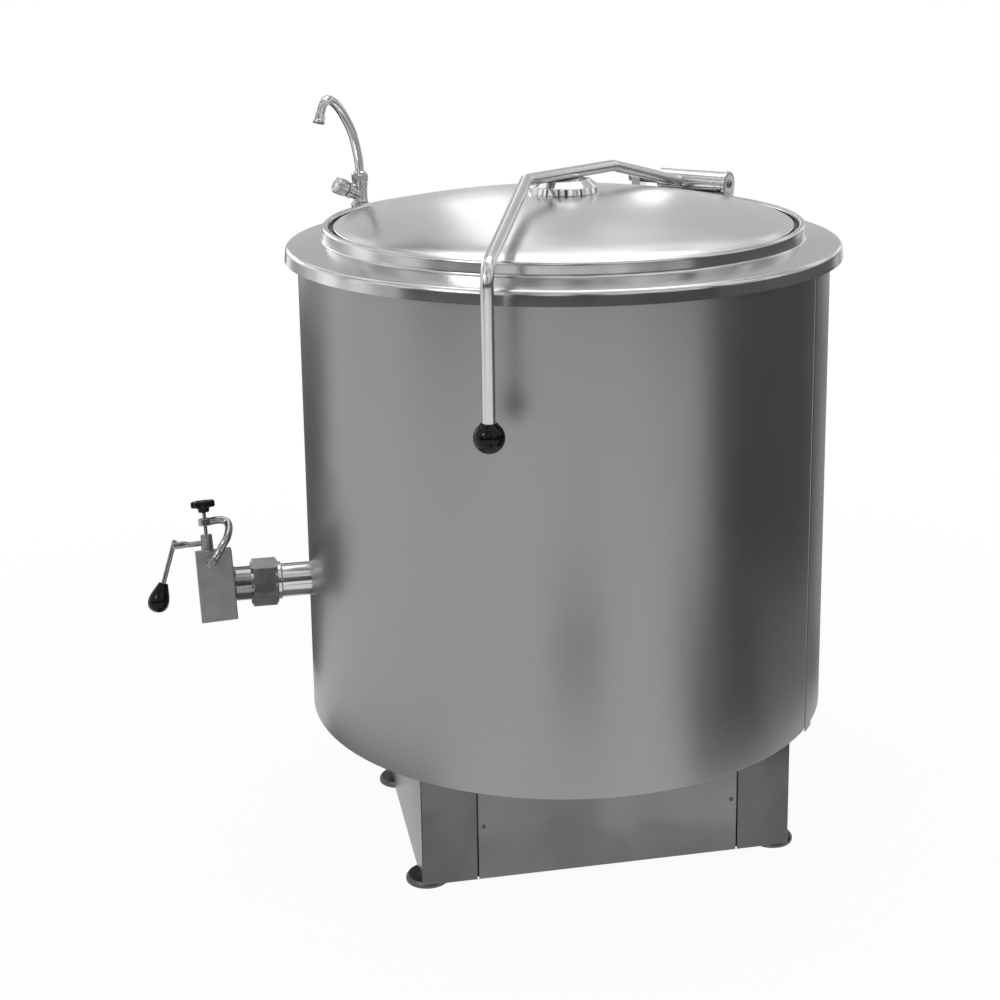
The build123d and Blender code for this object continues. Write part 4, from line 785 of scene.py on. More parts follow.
ball_place = np.array([BAR_DROP_BEND[0], BAR_DROP_BEND[1], BALL_Z])
bar_line = rounded([
    hinge_point(0, HINGE_RHO - 12), BAR_PEAK, BAR_FRONT_BEND, BAR_DROP_BEND, ball_place + UP * (BALL_R - 7)],
    BAR_ROUND, 14)
piece("lever_bar", "lid", BAR_STEEL, [tube(bar_line, BAR_R, hinge_along, 40)])
polar = np.linspace(-pi / 2, np.arccos(BALL_NECK_R / BALL_R), 40)
ball_line = np.stack([BALL_R * np.cos(polar), BALL_R * np.sin(polar)], 1)
neck_line = rounded(
    [ball_line[-1], (BALL_NECK_R, BALL_R - 2.4), (BAR_R + 0.4, BALL_R - 1.0), (0, BALL_R - 1.0)],
    [0, 1.5, 0.6, 0], 4)
ball_line[0, 0] = 0
ball_outline = np.concatenate([ball_line, neck_line[1:]])
piece("ball_knob", "lid", BLACK_PLASTIC, moved(ball_place, turned(ball_outline, 72)))

# Hinge: the tube with turned rings at its ends, the shaft, and the bracket on the rim
tube_start, tube_end = HINGE_TUBE_ENDS
tube_bore = SHAFT_R + 0.3
ring_end = tube_end - 10.6
groove_r = HINGE_TUBE_R - 0.7
tube_shell = lathe([
    (tube_bore, tube_start), (HINGE_TUBE_R - 1.2, tube_start), (HINGE_TUBE_R, tube_start + 1.5),
    (HINGE_TUBE_R, tube_end - 13), (groove_r, tube_end - 12.3), (groove_r, tube_end - 11.3),
    (HINGE_TUBE_R, ring_end), (HINGE_TUBE_R, tube_end - 1.5), (HINGE_TUBE_R - 1.2, tube_end),
    (tube_bore, tube_end)], 0.5, 3, 96, closed=True)
hinge_axis_foot = hinge_point(0)
piece("hinge_tube", "lid", TUBE_STEEL, set_on(hinge_axis_foot, hinge_along, tube_shell))
piece("hinge_shaft", "kettle", PLAIN_STEEL,
      set_on(hinge_axis_foot, hinge_along, drum(SHAFT_R, SHAFT_START, END_BOSS[1] - 1, 0.8)))


def rounded_box(width, depth, corner, steps=5):
    """Outline of a rectangle with round corners."""
    x, y = width / 2, depth / 2
    return rounded([(-x, -y), (x, -y), (x, y), (-x, y)], corner, steps, closed=True)


def upright_lug(radius, half_foot, drop):
    """Outline of a lug: a circle's upper part that runs straight down to a foot."""
    angles = np.linspace(-0.35, pi + 0.35, 40)
    arc = radius * np.stack([np.cos(angles), np.sin(angles)], 1)
    foot = rounded([arc[-1], (-half_foot, -drop), (half_foot, -drop), arc[0]], [0, 1.5, 1.5, 0], 4)
    return np.concatenate([arc, foot[1:-1]])


# The lugs are drawn in the plane (across the hinge, up) and laid along the hinge axis
def along_hinge(*shells):
    """Lay shells drawn as (across, up, along) on the hinge's middle."""
    basis = np.stack([hinge_across, UP, hinge_along], 1)
    return [(grid @ basis.T + hinge_axis_foot, wrapped) for grid, wrapped in shells]


foot_drop = HINGE_Z - PLATE_INNER_Z + 4
base_low, base_high = PLATE_INNER_Z - 5, BRACKET_TOP
base_outline = rounded_box(BRACKET_RHO[1] - BRACKET_RHO[0], base_high - base_low, 1.5) + (
    (BRACKET_RHO[0] + BRACKET_RHO[1]) / 2 - HINGE_RHO, (base_high + base_low) / 2 - HINGE_Z)
boss_low, boss_high = END_BOSS
recess = boss_high - 0.5
end_ring = lathe([
    (0, recess), (END_BOSS_R - 2.5, recess), (END_BOSS_R - 2.5, boss_high), (END_BOSS_R - 5, boss_high),
    (END_BOSS_R - 5.5, recess), (0, recess)], 0.2, 3, 72)
bracket_shells = along_hinge(
    slab(base_outline, LUG[0], boss_high, 1.0), slab(upright_lug(LUG_HALF, LUG_HALF, foot_drop), *LUG, 1.0),
    slab(upright_lug(END_BOSS_R, 13.0, foot_drop), boss_low, boss_high, 1.2))
piece("hinge_bracket", "kettle", TUBE_STEEL, bracket_shells + set_on(hinge_axis_foot, hinge_along, end_ring))
end_screw = lathe([
    (0, boss_high - 1), (7.0, boss_high - 1), (7.0, boss_high + 1.8), (4.5, boss_high + 3.0),
    (3.2, boss_high + 3.0), (3.0, boss_high + 0.8), (0, boss_high + 0.8)],
    [0, 0, 0.8, 0.6, 0.3, 0.3, 0], 4, 48)
piece("hinge_end_screw", "kettle", PLAIN_STEEL, set_on(hinge_axis_foot, hinge_along, end_screw))

# Tap: base, body with the knob's bonnet, nut, spout and knob
tap_foot = np.array([TAP_PLACE[0], TAP_PLACE[1], 0.0])
tap_base = lathe([
    (0, 896.0), (TAP_BASE_R - 1, 896.0), (TAP_BASE_R, 901.0), (TAP_BASE_R, 906.0), (16.5, 909.5),
    (14.6, 911.0), (14.0, 915.0), (15.0, 918.5), (15.0, TAP_BASE_TOP), (0, TAP_BASE_TOP)],
    [0, 1, 1, 1.5, 1, 1, 2, 1, 0.8, 0], 5, 64)
piece("tap_base", "kettle", CHROME, moved(tap_foot, tap_base))
body_low = TAP_BASE_TOP - 0.5
tap_body = lathe([
    (0, body_low), (TAP_BODY_R, body_low), (TAP_BODY_R, 926.0), (TAP_BODY_R - 0.8, 927.0),
    (TAP_BODY_R - 0.8, 948.0), (TAP_BODY_R, 950.0), (TAP_BODY_R, TAP_BODY_TOP), (0, TAP_BODY_TOP)],
    [0, 0.5, 0.8, 0.8, 1.5, 1.5, 0.5, 0], 4, 64)
knob_along = direction(KNOB_AZIMUTH, KNOB_RISE)
knob_origin = np.array([TAP_PLACE[0], TAP_PLACE[1], KNOB_Z])
bonnet_end = KNOB_START - 0.3
bonnet = lathe([
    (0, 0), (BONNET_R - 1.6, 0), (BONNET_R - 1.6, 13.0), (BONNET_R, 17.0), (BONNET_R, 22.0),
    (BONNET_R - 1, 23.0), (BONNET_R, 24.0), (BONNET_R, bonnet_end), (0, bonnet_end)],
    [0, 0, 3, 2, 0.4, 0.4, 0.4, 0.6, 0], 4, 56)
piece("tap_body", "kettle", CHROME, moved(tap_foot, tap_body) + set_on(knob_origin, knob_along, bonnet))


def chamfered_nut(flats, low, high, bore):
    """A hexagon between heights, its corners limited by a cone at both ends, with a round bore."""
    corner = flats / 2 * 1.155
    inner = flats / 2 * 0.99
    turn_down = corner - flats / 2 * 1.01
    drop = turn_down * 0.6
    rows = [(low, 0, bore), (low, 0, inner), (low, 0, corner - turn_down), (low + drop, 0, corner),
            (low + drop * 1.6, 0, corner), (high - drop * 1.6, 0, corner), (high - drop, 0, corner),
            (high, 0, corner - turn_down), (high, 0, inner), (high, 0, bore)]
    return lobed(hexagon(flats), rows, 144, wrapped=True)


tap_nut = chamfered_nut(TAP_NUT_FLATS, TAP_BODY_TOP, TAP_NUT_TOP, SPOUT_R)
piece("tap_nut", "kettle", CHROME, moved(tap_foot, tap_nut))
spout_along = direction(SPOUT_AZIMUTH)
spout_points = np.array([tap_foot + spout_along * reach + UP * height for reach, height in SPOUT_PATH])
outlet_axis = unit(spout_along * 0.36 - UP * 0.93)
spout_side = np.cross(spout_along, UP)
spout_line = through(spout_points, 64, UP, outlet_axis)
spout_foot = tap_foot + UP * np.array([[952.0], [960.0], [968.0], [974.0]])
spout_bar = tube(np.concatenate([spout_foot, spout_line]), SPOUT_R, spout_side, 32)
collar = lathe([
    (0, TAP_NUT_TOP - 0.5), (10.5, TAP_NUT_TOP - 0.5), (10.5, TAP_NUT_TOP + 2.5),
    (SPOUT_R, TAP_NUT_TOP + 5.0), (0, TAP_NUT_TOP + 5.0)], [0, 0.5, 1.2, 1.5, 0], 4, 48)
outlet_floor = OUTLET_LENGTH - 5.0
outlet = lathe([
    (0, -1.0), (SPOUT_R, -1.0), (SPOUT_R + 0.9, 1.5), (OUTLET_R - 0.8, OUTLET_LENGTH - 4.5),
    (OUTLET_R, OUTLET_LENGTH - 3.5), (OUTLET_R, OUTLET_LENGTH), (OUTLET_R - 1.8, OUTLET_LENGTH),
    (OUTLET_R - 2.4, outlet_floor), (0, outlet_floor)], [0, 0, 0.8, 0.6, 0.5, 0.5, 0.3, 0.4, 0], 4, 48)
piece("tap_spout", "tap_spout", CHROME,
      [spout_bar] + moved(tap_foot, collar) + set_on(spout_points[-1], outlet_axis, outlet))
UNLIMITED = 40.0
knob_rows = [(KNOB_START + height, inset, UNLIMITED) for height, inset in (
    (0, 20), (0, 4.0), (0.3, 2.2), (1.5, 1.0), (4.0, 0.2), (6.0, 0), (17.0, 0), (19.5, 0.3), (21.3, 1.3),
    (22.2, 2.8), (22.5, 4.6), (22.3, 6.2), (21.5, 7.0), (21.4, 20))]
knob_shell = lobed(scalloped(KNOB_R, 8, 3.5, KNOB_R + 1.9, 3), knob_rows, 160)
piece("tap_knob", "tap_handle", CHROME, set_on(knob_origin, knob_along, knob_shell), sharp=50.0)

# Drain line: outlet tube with its ferrule, and the union nut
drain_axis = np.array([-1.0, 0.0, 0.0])
drain_foot = np.array([0.0, 0.0, DRAIN_Z])
nut_far, nut_near = -NUT_ENDS[0], -NUT_ENDS[1]
drain_shell = lathe([
    (PIPE_BORE_R, PIPE_START), (PIPE_R, PIPE_START), (PIPE_R, nut_near - 6), (FERRULE_R, nut_near - 5),
    (FERRULE_R, nut_near + 20), (PIPE_BORE_R, nut_near + 20)], [0, 0, 1, 1, 0.5, 0.5], 4, 96, closed=True)
piece("drain_tube", "kettle", TUBE_STEEL, set_on(drain_foot, drain_axis, drain_shell))
nut_shell = chamfered_nut(NUT_FLATS, nut_near, nut_far, PIPE_R)
turn = radians(NUT_TURN)
nut_basis = np.array([[0.0, 0.0, -1.0], [sin(turn), cos(turn), 0.0], [cos(turn), -sin(turn), 0.0]])
piece("union_nut", "kettle", TURNED_STEEL, [(nut_shell[0] @ nut_basis.T + drain_foot, True)], sharp=25.0)


# Valve body: a square block with the plug's bore, and its tube with a weld bead
body_outline = rounded_box(2 * BODY_HALF, 2 * BODY_HALF, 2.0, 4)
share = np.linspace(0, 1, 12, endpoint=False)[:, None]
next_points = np.roll(body_outline, -1, 0)
body_outline = np.concatenate([a + (b - a) * share for a, b in zip(body_outline, next_points)])
body = slab(body_outline, BODY_LOW, BODY_HIGH, 0.7, bore=(PLUG_X, 0.0, PLUG_LOW_R + 0.2, PLUG_TOP_R + 0.3))
liner = lathe([
    (PIPE_BORE_R, BODY_HALF - 3), (PIPE_R, BODY_HALF - 3), (PIPE_R, LINER_END), (PIPE_BORE_R, LINER_END)],
    0.4, 2, 96, closed=True)
bead = lathe([
    (PIPE_R - 1, BODY_HALF - 1), (PIPE_R + 1.6, BODY_HALF - 1), (PIPE_R + 0.1, BODY_HALF + 2.2),
    (PIPE_R - 1, BODY_HALF + 2.2)], 0.7, 4, 96, closed=True)
on_drain = set_on((VALVE_X, 0, DRAIN_Z), (1, 0, 0), liner, bead)
piece("valve_body", "kettle", VALVE_STEEL, on_valve(body))
# The valve's tube and its bead take the darker copy of the tube steel, whose lower tone is painted shade.
piece("valve_body", "kettle", TUBE_STEEL_PAINTED_SHADE, on_drain, name="valve_tube")

# Plug with its stem
plug_axis = np.array([PLUG_X, 0.0, 0.0])
plug_shell = lathe([
    (0, PLUG_BORE_TOP), (PLUG_BORE_R, PLUG_BORE_TOP), (PLUG_BORE_R, PLUG_LOW), (PLUG_LOW_R, PLUG_LOW),
    (PLUG_TOP_R, BODY_HIGH - 0.2), (10.4, BODY_HIGH - 0.2), (9.2, BODY_HIGH + 1.4), (8.6, STEM_TOP),
    (0, STEM_TOP)], [0, 0.5, 0.5, 0.8, 0.6, 0.6, 1.2, 1.0, 0], 4, 72)
piece("plug", "plug", VALVE_STEEL, on_valve(*moved(plug_axis, plug_shell)))


# Plug's lever: an arm of (reach, half width, half height, squareness), and a bar down to a pear grip
def squared(circular, squareness):
    """A cosine or sine changed so that an ellipse (squareness 2) goes towards a rectangle."""
    return np.sign(circular) * np.abs(circular) ** (2 / squareness)


reach, wide, tall, squareness = np.array(ARM_SECTIONS).T[:, :, None]
lift = np.interp(reach[:, 0], [0, 26, 33, 60], [0, 0, 1.0, 1.0])
angles = np.linspace(0, 2 * pi, 40, endpoint=False)
section = np.stack([
    wide * squared(np.cos(angles), squareness), tall * squared(np.sin(angles), squareness)], -1)
arm = swept(np.column_stack([PLUG_X - reach[:, 0], np.zeros(len(reach)), ARM_Z + lift]), section)
grip_top, grip_low = np.array(GRIP_BAR_TOP), np.array(GRIP_BAR_LOW)
bar_axis = unit(grip_low - grip_top)
bar_points = np.array([
    grip_top - bar_axis * 4.6, grip_top - bar_axis * 4.2, grip_top, grip_low + bar_axis * 10])
bar_radii = [GRIP_BAR_R - 0.6, GRIP_BAR_R, GRIP_BAR_R, GRIP_BAR_R]
grip_bar = tube(bar_points, bar_radii, np.array([0.0, 1.0, 0.0]), 24)
cross_pin = set_on((grip_top[0], 0, ARM_Z + 1), (0, 1, 0), drum(2.0, -6.2, 6.2, 0.5, 24))
piece("plug_lever", "plug", LEVER_STEEL, on_valve(arm, grip_bar, *cross_pin))
pear_points = np.column_stack([PEAR_PROFILE, np.zeros(len(PEAR_PROFILE))])
pear_line = through(pear_points, 40, (0.3, 1, 0), (-1, 0, 0))[2:, :2]
pear_foot = rounded([(5.6, 0.0), (7.0, 0.0), pear_line[0]], 0.8, 3)[1:-1]
pear_outline = np.concatenate([[(0, 0.0), (5.6, 0.0)], pear_foot, pear_line])
pear_outline[-1, 0] = 0
piece("pear_grip", "plug", BLACK_PLASTIC, on_valve(*set_on(grip_low, bar_axis, turned(pear_outline, 64))))

# Clamp arm: one bent rod with its pivot disc and eye, and the bolt it turns on
rod_bend = rounded([PIVOT, CLAMP_PATH[0], CLAMP_PATH[1]], 9.0, 5)[1:-1]
rod_curve = through(CLAMP_PATH, 56, (8.1, 1.8, 12.3), (-1, 0, 0))[3:]
rod_line = np.concatenate([[PIVOT], rod_bend, rod_curve])
rod = tube(rod_line, CLAMP_ROD_R, np.array([0.0, -1.0, 0.0]), 32)
pivot_place, pivot_axis = (PIVOT[0], 0, PIVOT[2]), (0, -1, 0)
disc_face = PIVOT_DISC_OUT - PIVOT[1]
pivot_disc = set_on(pivot_place, pivot_axis, drum(PIVOT_R, BODY_HALF + 0.3, disc_face, 1.0, 56))
eye_low, eye_high = EYE_ENDS
eye = lathe([
    (SCREW_R, eye_low), (EYE_R, eye_low), (EYE_R, eye_high), (SCREW_R, eye_high)], 1.0, 4, 56, closed=True)
piece("clamp_arm", "clamp", LEVER_STEEL, on_valve(rod, *pivot_disc, *moved(plug_axis, eye)))
bolt = lathe([
    (0, disc_face - 1), (6.5, disc_face - 1), (6.5, disc_face + 2.6), (5.2, disc_face + 4.2),
    (3.0, disc_face + 4.2), (2.8, disc_face + 2.4), (0, disc_face + 2.4)],
    [0, 0.2, 1.0, 0.6, 0.2, 0.2, 0], 4, 48)
piece("pivot_bolt", "kettle", PLAIN_STEEL, on_valve(*set_on(pivot_place, pivot_axis, bolt)))

# Clamp screw: a thread whose ridge climbs by its pitch in a turn
angles = np.linspace(0, 2 * pi, 24, endpoint=False)
height = np.arange(SCREW_TIP, STAR_HUB_LOW + 4, SCREW_PITCH / 6)[:, None]
phase = (height / SCREW_PITCH - angles / (2 * pi)) % 1
ridge = (SCREW_R - THREAD_DEPTH * np.abs(2 * phase - 1)) * np.clip(height - SCREW_TIP, 0.6, 1)
thread = np.stack([
    ridge * np.cos(angles) + PLUG_X, ridge * np.sin(angles), np.broadcast_to(height, ridge.shape)], -1)
piece("clamp_screw", "clamp_screw", PLAIN_STEEL, on_valve((thread, False)), sharp=60.0)

# Star knob: a round hub under a lobed head
star = scalloped(STAR_R, STAR_LOBES, 4.6, STAR_R + 0.9, 4)
low, high = STAR_ENDS
hub_rows = [(height, 0, STAR_HUB_R + wider) for height, wider in (
    (STAR_HUB_LOW, -2.0), (STAR_HUB_LOW + 0.5, -1.0), (STAR_HUB_LOW + 2, -0.4), (low - 2.5, 0),
    (low - 0.6, 0.8))]
head_rows = [(height, inset, UNLIMITED) for height, inset in (
    (low, 3.0), (low + 0.4, 1.2), (low + 1.6, 0.2), (low + 2.6, 0), (high - 3.4, 0), (high - 1.6, 0.5),
    (high - 0.5, 1.8), (high, 4.0), (high, 6.0), (high - 0.5, 7.4), (high - 0.8, 9.0), (high - 0.8, 40))]
star_shell = lobed(star, [(STAR_HUB_LOW, 40, UNLIMITED)] + hub_rows + head_rows, 196)
piece("star_knob", "star_knob", BLACK_PLASTIC, on_valve(*moved(plug_axis, star_shell)), sharp=50.0)


# Plinth: two covers folded round the corners, two flat panels with screws, and four levelling feet
middle_x = PLINTH_HALF - SHEET / 2
front_line, rear_line = PLINTH_FRONT + SHEET / 2, PLINTH_REAR - SHEET / 2
for name, side in (("plinth_left_cover", -1), ("plinth_right_cover", 1)):
    cover_end = side * (SEAM_X + SEAM_SHOWN)
    cover_plan = rounded([
        (cover_end, front_line), (side * middle_x, front_line), (side * middle_x, rear_line),
        (cover_end, rear_line)], PLINTH_BEND - SHEET / 2, 6)
    piece(name, "kettle", COVER_STEEL, [strip(cover_plan, PLINTH_LOW, PLINTH_TOP)])
for name, line in (("plinth_front_panel", front_line), ("plinth_rear_panel", rear_line)):
    panel_end = SEAM_X - SEAM_SHOWN
    panel_plan = np.column_stack([np.array([-1, -0.99, 0.99, 1]) * panel_end, np.full(4, line)])
    piece(name, "kettle", PLINTH_STEEL, [strip(panel_plan, PLINTH_LOW, PLINTH_TOP)])


def screw_head(radius, height, recess_radius):
    """A low domed head with a round recess."""
    return lathe([
        (0, -0.6), (radius, -0.6), (radius, height * 0.45), (recess_radius + 0.4, height),
        (recess_radius, height * 0.3), (0, height * 0.3)], [0, 0, 0.5, 0.15, 0.15, 0], 4, 32)


small_head = screw_head(SCREW_HEAD_R, 1.2, 1.3)
cover_heads = []
for face, outward in ((PLINTH_FRONT, -1.0), (PLINTH_REAR, 1.0)):
    for side in (-1, 1):
        cover_heads += set_on((side * PANEL_SCREW_X, face, PANEL_SCREW_Z), (0, outward, 0), small_head)
piece("cover_screws", "kettle", FOOT_STEEL, cover_heads)
panel_heads = []
for azimuth in PANEL_SCREW_AZIMUTHS:
    outward = direction(azimuth)
    panel_heads += set_on(outward * CASING_R + UP * (CASING_BOTTOM + PANEL_SCREW_RISE), outward, small_head)
piece("panel_screws", "kettle", PLAIN_STEEL, panel_heads)
bracket_heads = []
for along in BRACKET_SCREWS_ALONG:
    bracket_heads += moved(hinge_point(along, HINGE_RHO + 5, BRACKET_TOP - 0.2), screw_head(5.5, 0.8, 2.6))
piece("bracket_screws", "kettle", PLAIN_STEEL, bracket_heads)
foot_shell = lathe([
    (0, 0.0), (FOOT_R - 0.6, 0.0), (FOOT_R, 0.8), (FOOT_R, 4.6), (FOOT_R - 3.2, FOOT_PAD), (14.0, FOOT_PAD),
    (9.5, FOOT_PAD + 2.2), (FOOT_STEM_R, FOOT_PAD + 2.6), (FOOT_STEM_R, FOOT_STEM_TOP), (0, FOOT_STEM_TOP)],
    [0, 0.4, 0.5, 1.6, 2.0, 2.0, 1.0, 0.6, 0.8, 0], 4, 72)
for name, (x, y) in FOOT_PLACES.items():
    piece(name, name, FOOT_STEEL, moved((x, y, 0), foot_shell))


# Camera, in the place and turn that fit the photograph
CAMERA_PLACE = np.array([-581.1, -2641.0, 1353.2])
CAMERA_AZIMUTH = radians(12.409)
CAMERA_DROP = radians(12.81)
CAMERA_ROLL = radians(-0.322)
CAMERA_LENS = 65.13
CAMERA_SENSOR = 36.0
CAMERA_SHIFT = (-0.0643, -0.1606)
level = np.array([cos(CAMERA_AZIMUTH), -sin(CAMERA_AZIMUTH), 0.0])
ahead = np.array([sin(CAMERA_AZIMUTH), cos(CAMERA_AZIMUTH), 0.0])
forward = ahead * cos(CAMERA_DROP) - UP * sin(CAMERA_DROP)
above = np.cross(level, forward)
right = level * cos(CAMERA_ROLL) + above * sin(CAMERA_ROLL)
upward = -level * sin(CAMERA_ROLL) + above * cos(CAMERA_ROLL)
camera = placed("camera", bpy.data.cameras.new("camera"))
camera.data.lens = CAMERA_LENS
camera.data.sensor_width = CAMERA_SENSOR
camera.data.shift_x, camera.data.shift_y = CAMERA_SHIFT
turn_matrix = Matrix(np.stack([right, upward, -forward], 1).tolist()).to_4x4()
camera.matrix_world = Matrix.Translation(Vector(CAMERA_PLACE / 1000 + KETTLE_AXIS)) @ turn_matrix
bpy.context.scene.camera = camera
bpy.context.scene.view_settings.view_transform = "Standard"


# Light, with lengths in metres: a pale surround, soft lamps, and cards that only the steel sees
SURROUND_LIGHT = 0.62
FLOOR_HALF = 12.0
FLOOR_FADE = (0.6, 1.9)
FLOOR_GLOW = (0.95, 1.0)
ROOM_RADIUS = 4.6
ROOM_HEIGHT = 3.9
ROOM_WALL = (0.02, 0.9)
UNDER_HALF = 0.262
UNDER_ENDS = (-0.262, 0.085)
UNDER_Z = 0.0005


def shows_background(tree):
    """1 for rays from the camera, or that a mirror or glass sends on, else 0."""
    path = node(tree, "ShaderNodeLightPath").outputs
    seen = path["Is Camera Ray"]
    for kind in ("Is Glossy Ray", "Is Transmission Ray"):
        seen = node(tree, "ShaderNodeMath", {0: seen, 1: path[kind]}, operation="MAXIMUM").outputs["Value"]
    return seen


def surface(name, corners, faces, finish):
    """A surface of the stage, from its corners and faces."""
    mesh = bpy.data.meshes.new(name)
    mesh.from_pydata([tuple(corner) for corner in corners], [], faces)
    mesh.materials.append(finish)
    return placed(name, mesh)


world = bpy.data.worlds.new("surround")
bpy.context.scene.world = world
world.use_nodes = True
tree = world.node_tree
feed(tree, tree.nodes["Background"], {
    "Color": (1.0, 1.0, 1.0, 1.0), "Strength": between(tree, shows_background(tree), SURROUND_LIGHT, 1.0)})

# Floor: matt for the light that falls on it, and a glow of its own for the camera and the mirrors
floor_finish, tree, matt = new_finish("pale floor")
feed(tree, matt, {"Base Color": (0.86, 0.86, 0.86, 1.0), "Roughness": 0.9, "Specular IOR Level": 0.1})
glow = node(tree, "ShaderNodeEmission", {"Strength": 1.0})
place = node(tree, "ShaderNodeTexCoord").outputs["Object"]
distance = node(tree, "ShaderNodeVectorMath", {0: place}, operation="LENGTH").outputs["Value"]
fade = between(tree, distance, *FLOOR_GLOW, *FLOOR_FADE, "SMOOTHSTEP")
share = node(tree, "ShaderNodeMath", {0: fade, 1: shows_background(tree)}, operation="MULTIPLY")
mixed = node(tree, "ShaderNodeMixShader", {
    "Fac": share.outputs["Value"], 1: matt.outputs["BSDF"], 2: glow.outputs["Emission"]})
feed(tree, tree.nodes["Material Output"], {"Surface": mixed.outputs["Shader"]})
floor_corners = [(x * FLOOR_HALF, y * FLOOR_HALF, 0) for x, y in ((-1, -1), (1, -1), (1, 1), (-1, 1))]
floor = surface("floor", floor_corners, [(0, 1, 2, 3)], floor_finish)


def lamp(name, place, target, width, height, radiance):
    """A soft lamp of even brightness: power is radiance times pi times its area."""
    light = bpy.data.lights.new(name, "AREA")
    light.shape = "RECTANGLE"
    light.size = width
    light.size_y = height
    light.energy = radiance * pi * width * height
    made = placed(name, light)
    made.location = place
    made.rotation_euler = (Vector(target) - Vector(place)).to_track_quat("-Z", "Y").to_euler()


def unseen_stage(name, corners, faces, finish):
    """A stage surface that only mirrors see."""
    made = surface(name, corners, faces, finish)
    made.visible_camera = False
    made.visible_diffuse = False
    made.visible_shadow = False


def glowing(name):
    """A new material that only gives light, with its node tree and its light."""
    made, tree, _ = new_finish(name)
    light = node(tree, "ShaderNodeEmission")
    feed(tree, tree.nodes["Material Output"], {"Surface": light.outputs["Emission"]})
    return made, tree, light


def shade_finish(name, shade):
    """A plain glow of one shade."""
    made, tree, light = glowing(name)
    feed(tree, light, {"Color": (shade, shade, shade, 1.0)})
    return made


def card(name, azimuth, half_angle, near, far, low, high, shade):
    """A card bent round the kettle: upright where near and far are equal, flat where low and high are."""
    angles = [azimuth - half_angle + 2 * half_angle * step / 12 for step in range(13)]
    corners = [direction(angle) * reach + KETTLE_AXIS + UP * height
               for angle in angles for reach, height in ((near, low), (far, high))]
    faces = [(2 * step, 2 * step + 1, 2 * step + 3, 2 * step + 2) for step in range(12)]
    unseen_stage(name, corners, faces, shade_finish(name, shade))


def room(radius, height, wall_low, wall_high):
    """Round walls and a ceiling in soft light and dark patches, as a workshop has, for the steel to mirror.

    The ceiling's points lie on an ellipse, so the walls turn into it without an edge. Each row of patches is
    the noise's scale and detail, its shift, the noise values where it starts and ends, and the light there.
    """
    rise = np.concatenate([[0.0], np.linspace(0.0, pi / 2, 14)])
    profile = np.stack([radius * np.cos(rise), wall_high + (height - wall_high) * np.sin(rise)], 1)
    profile[0, 1] = wall_low
    grid = turned(profile, 48)[0].transpose(1, 0, 2)
    faces = grid_faces(grid.shape[0], grid.shape[1], False)
    finish, tree, light = glowing("room")
    place = node(tree, "ShaderNodeTexCoord").outputs["Object"]
    levels = []
    for scale, detail, shift, start, end, first, last in (
            (0.8, 2.0, (3.0, 1.0, 0.0), 0.42, 0.62, 0.66, 1.4),
            (1.3, 1.0, (-2.0, 5.0, 1.0), 0.54, 0.66, 1.0, 0.4)):
        shifted = node(tree, "ShaderNodeMapping", {"Vector": place, "Location": shift}).outputs["Vector"]
        noise = node(tree, "ShaderNodeTexNoise", {
            "Vector": shifted, "Scale": scale, "Detail": detail, "Roughness": 0.5})
        levels.append(between(tree, noise.outputs["Fac"], first, last, start, end, "SMOOTHSTEP"))
    level = node(tree, "ShaderNodeMath", {0: levels[0], 1: levels[1]}, operation="MULTIPLY")
    feed(tree, light, {"Strength": level.outputs["Value"]})
    unseen_stage("room", grid.reshape(-1, 3) + KETTLE_AXIS, faces.tolist(), finish)


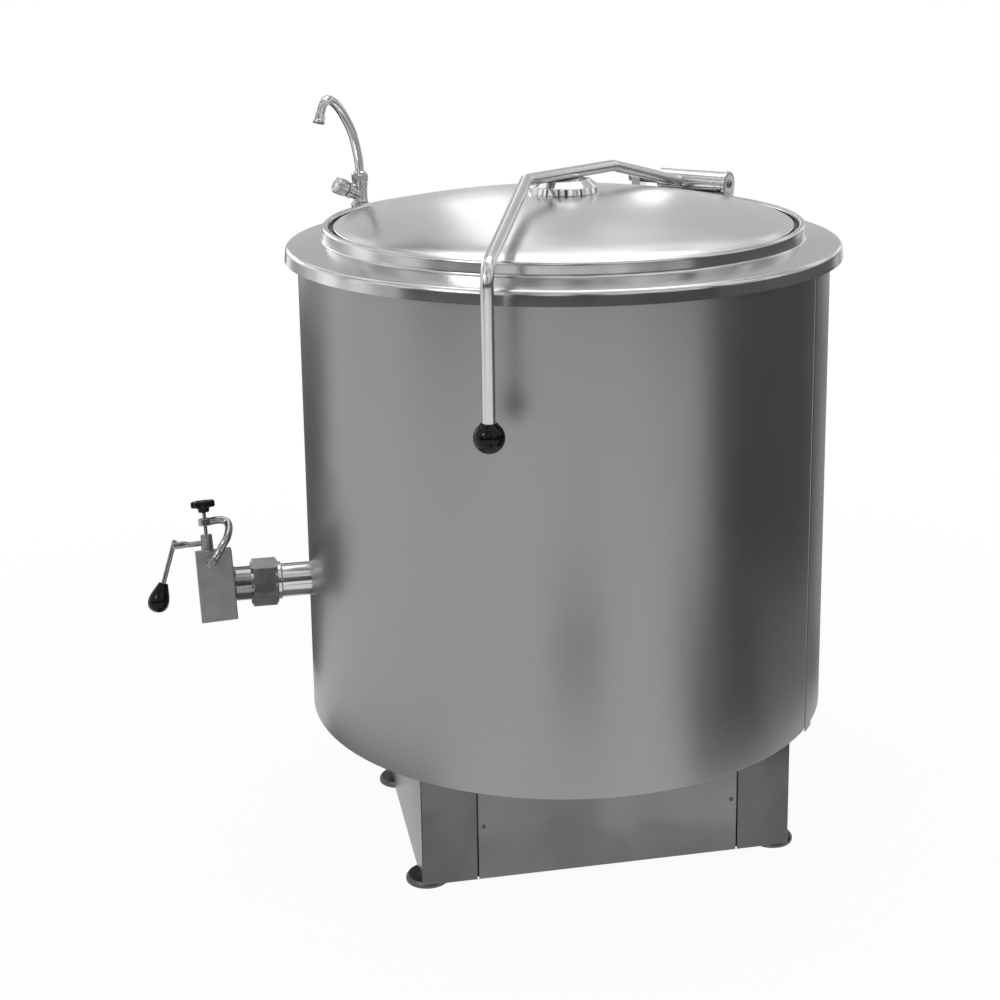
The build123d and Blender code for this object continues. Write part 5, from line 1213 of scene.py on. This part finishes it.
middle_point = KETTLE_AXIS + UP * 0.6
lamp("left lamp", KETTLE_AXIS + np.array([-2.4, -1.6, 2.4]), middle_point, 0.7, 0.5, 12.0)
lamp("overhead lamp", KETTLE_AXIS + np.array([0.2, 0.6, 3.0]), middle_point, 2.0, 1.4, 1.6)
lamp("rear left lamp", KETTLE_AXIS + np.array([-1.6, 3.2, 1.6]), KETTLE_AXIS + UP * 0.9, 1.4, 0.8, 1.6)
room(ROOM_RADIUS, ROOM_HEIGHT, *ROOM_WALL)
CARDS = (
    ("dark card", 76.0, 36.0, 1.35, 1.35, 0.0, 1.05, 0.12),
    ("dark mat", 46.0, 17.0, 0.7, 1.4, 0.001, 0.001, 0.1),
    ("grey mat", 88.0, 25.0, 0.7, 1.5, 0.001, 0.001, 0.3),
    ("right mat", 138.0, 25.0, 0.75, 4.4, 0.001, 0.001, 0.5),
    ("rear left mat", -152.0, 25.0, 0.75, 4.4, 0.001, 0.001, 0.1),
    ("drain mat", -82.0, 30.0, 0.38, 0.72, 0.001, 0.001, 0.22),
    ("front mat", -8.0, 9.0, 1.15, 1.5, 0.001, 0.001, 0.03),
    ("dark band", 0.0, 75.0, 3.2, 3.2, 0.6, 1.3, 0.05),
    ("rear dark card", -160.0, 10.4, 1.2, 1.2, -0.02, 0.86, 0.12),
    ("rear wall", 166.0, 25.0, 3.5, 3.5, 0.3, 2.8, 0.6),
    ("pale window", 174.6, 2.8, 3.0, 3.0, 1.45, 3.8, 1.6),
    ("pale spot", 160.9, 1.3, 3.0, 3.0, 1.15, 1.75, 1.9),
    ("left post", -68.0, 3.7, 3.4, 3.4, 1.3, 3.6, 0.04),
    ("near left post", -28.0, 3.7, 3.4, 3.4, 1.3, 3.6, 0.04),
    ("front post", -4.0, 5.0, 3.4, 3.4, 1.3, 3.6, 0.04),
    ("right post", 47.0, 3.7, 3.4, 3.4, 1.3, 3.6, 0.04),
)
for values in CARDS:
    card(*values)

# A dark sheet just over the floor, for the deep shade under the plinth
under_corners = [KETTLE_AXIS + np.array([x, y, UNDER_Z]) for x, y in (
    (-UNDER_HALF, UNDER_ENDS[0]), (UNDER_HALF, UNDER_ENDS[0]), (UNDER_HALF, UNDER_ENDS[1]),
    (-UNDER_HALF, UNDER_ENDS[1]))]
under_name = "shade under the plinth"
shade_under = surface(under_name, under_corners, [(0, 1, 2, 3)], shade_finish(under_name, 0.01))
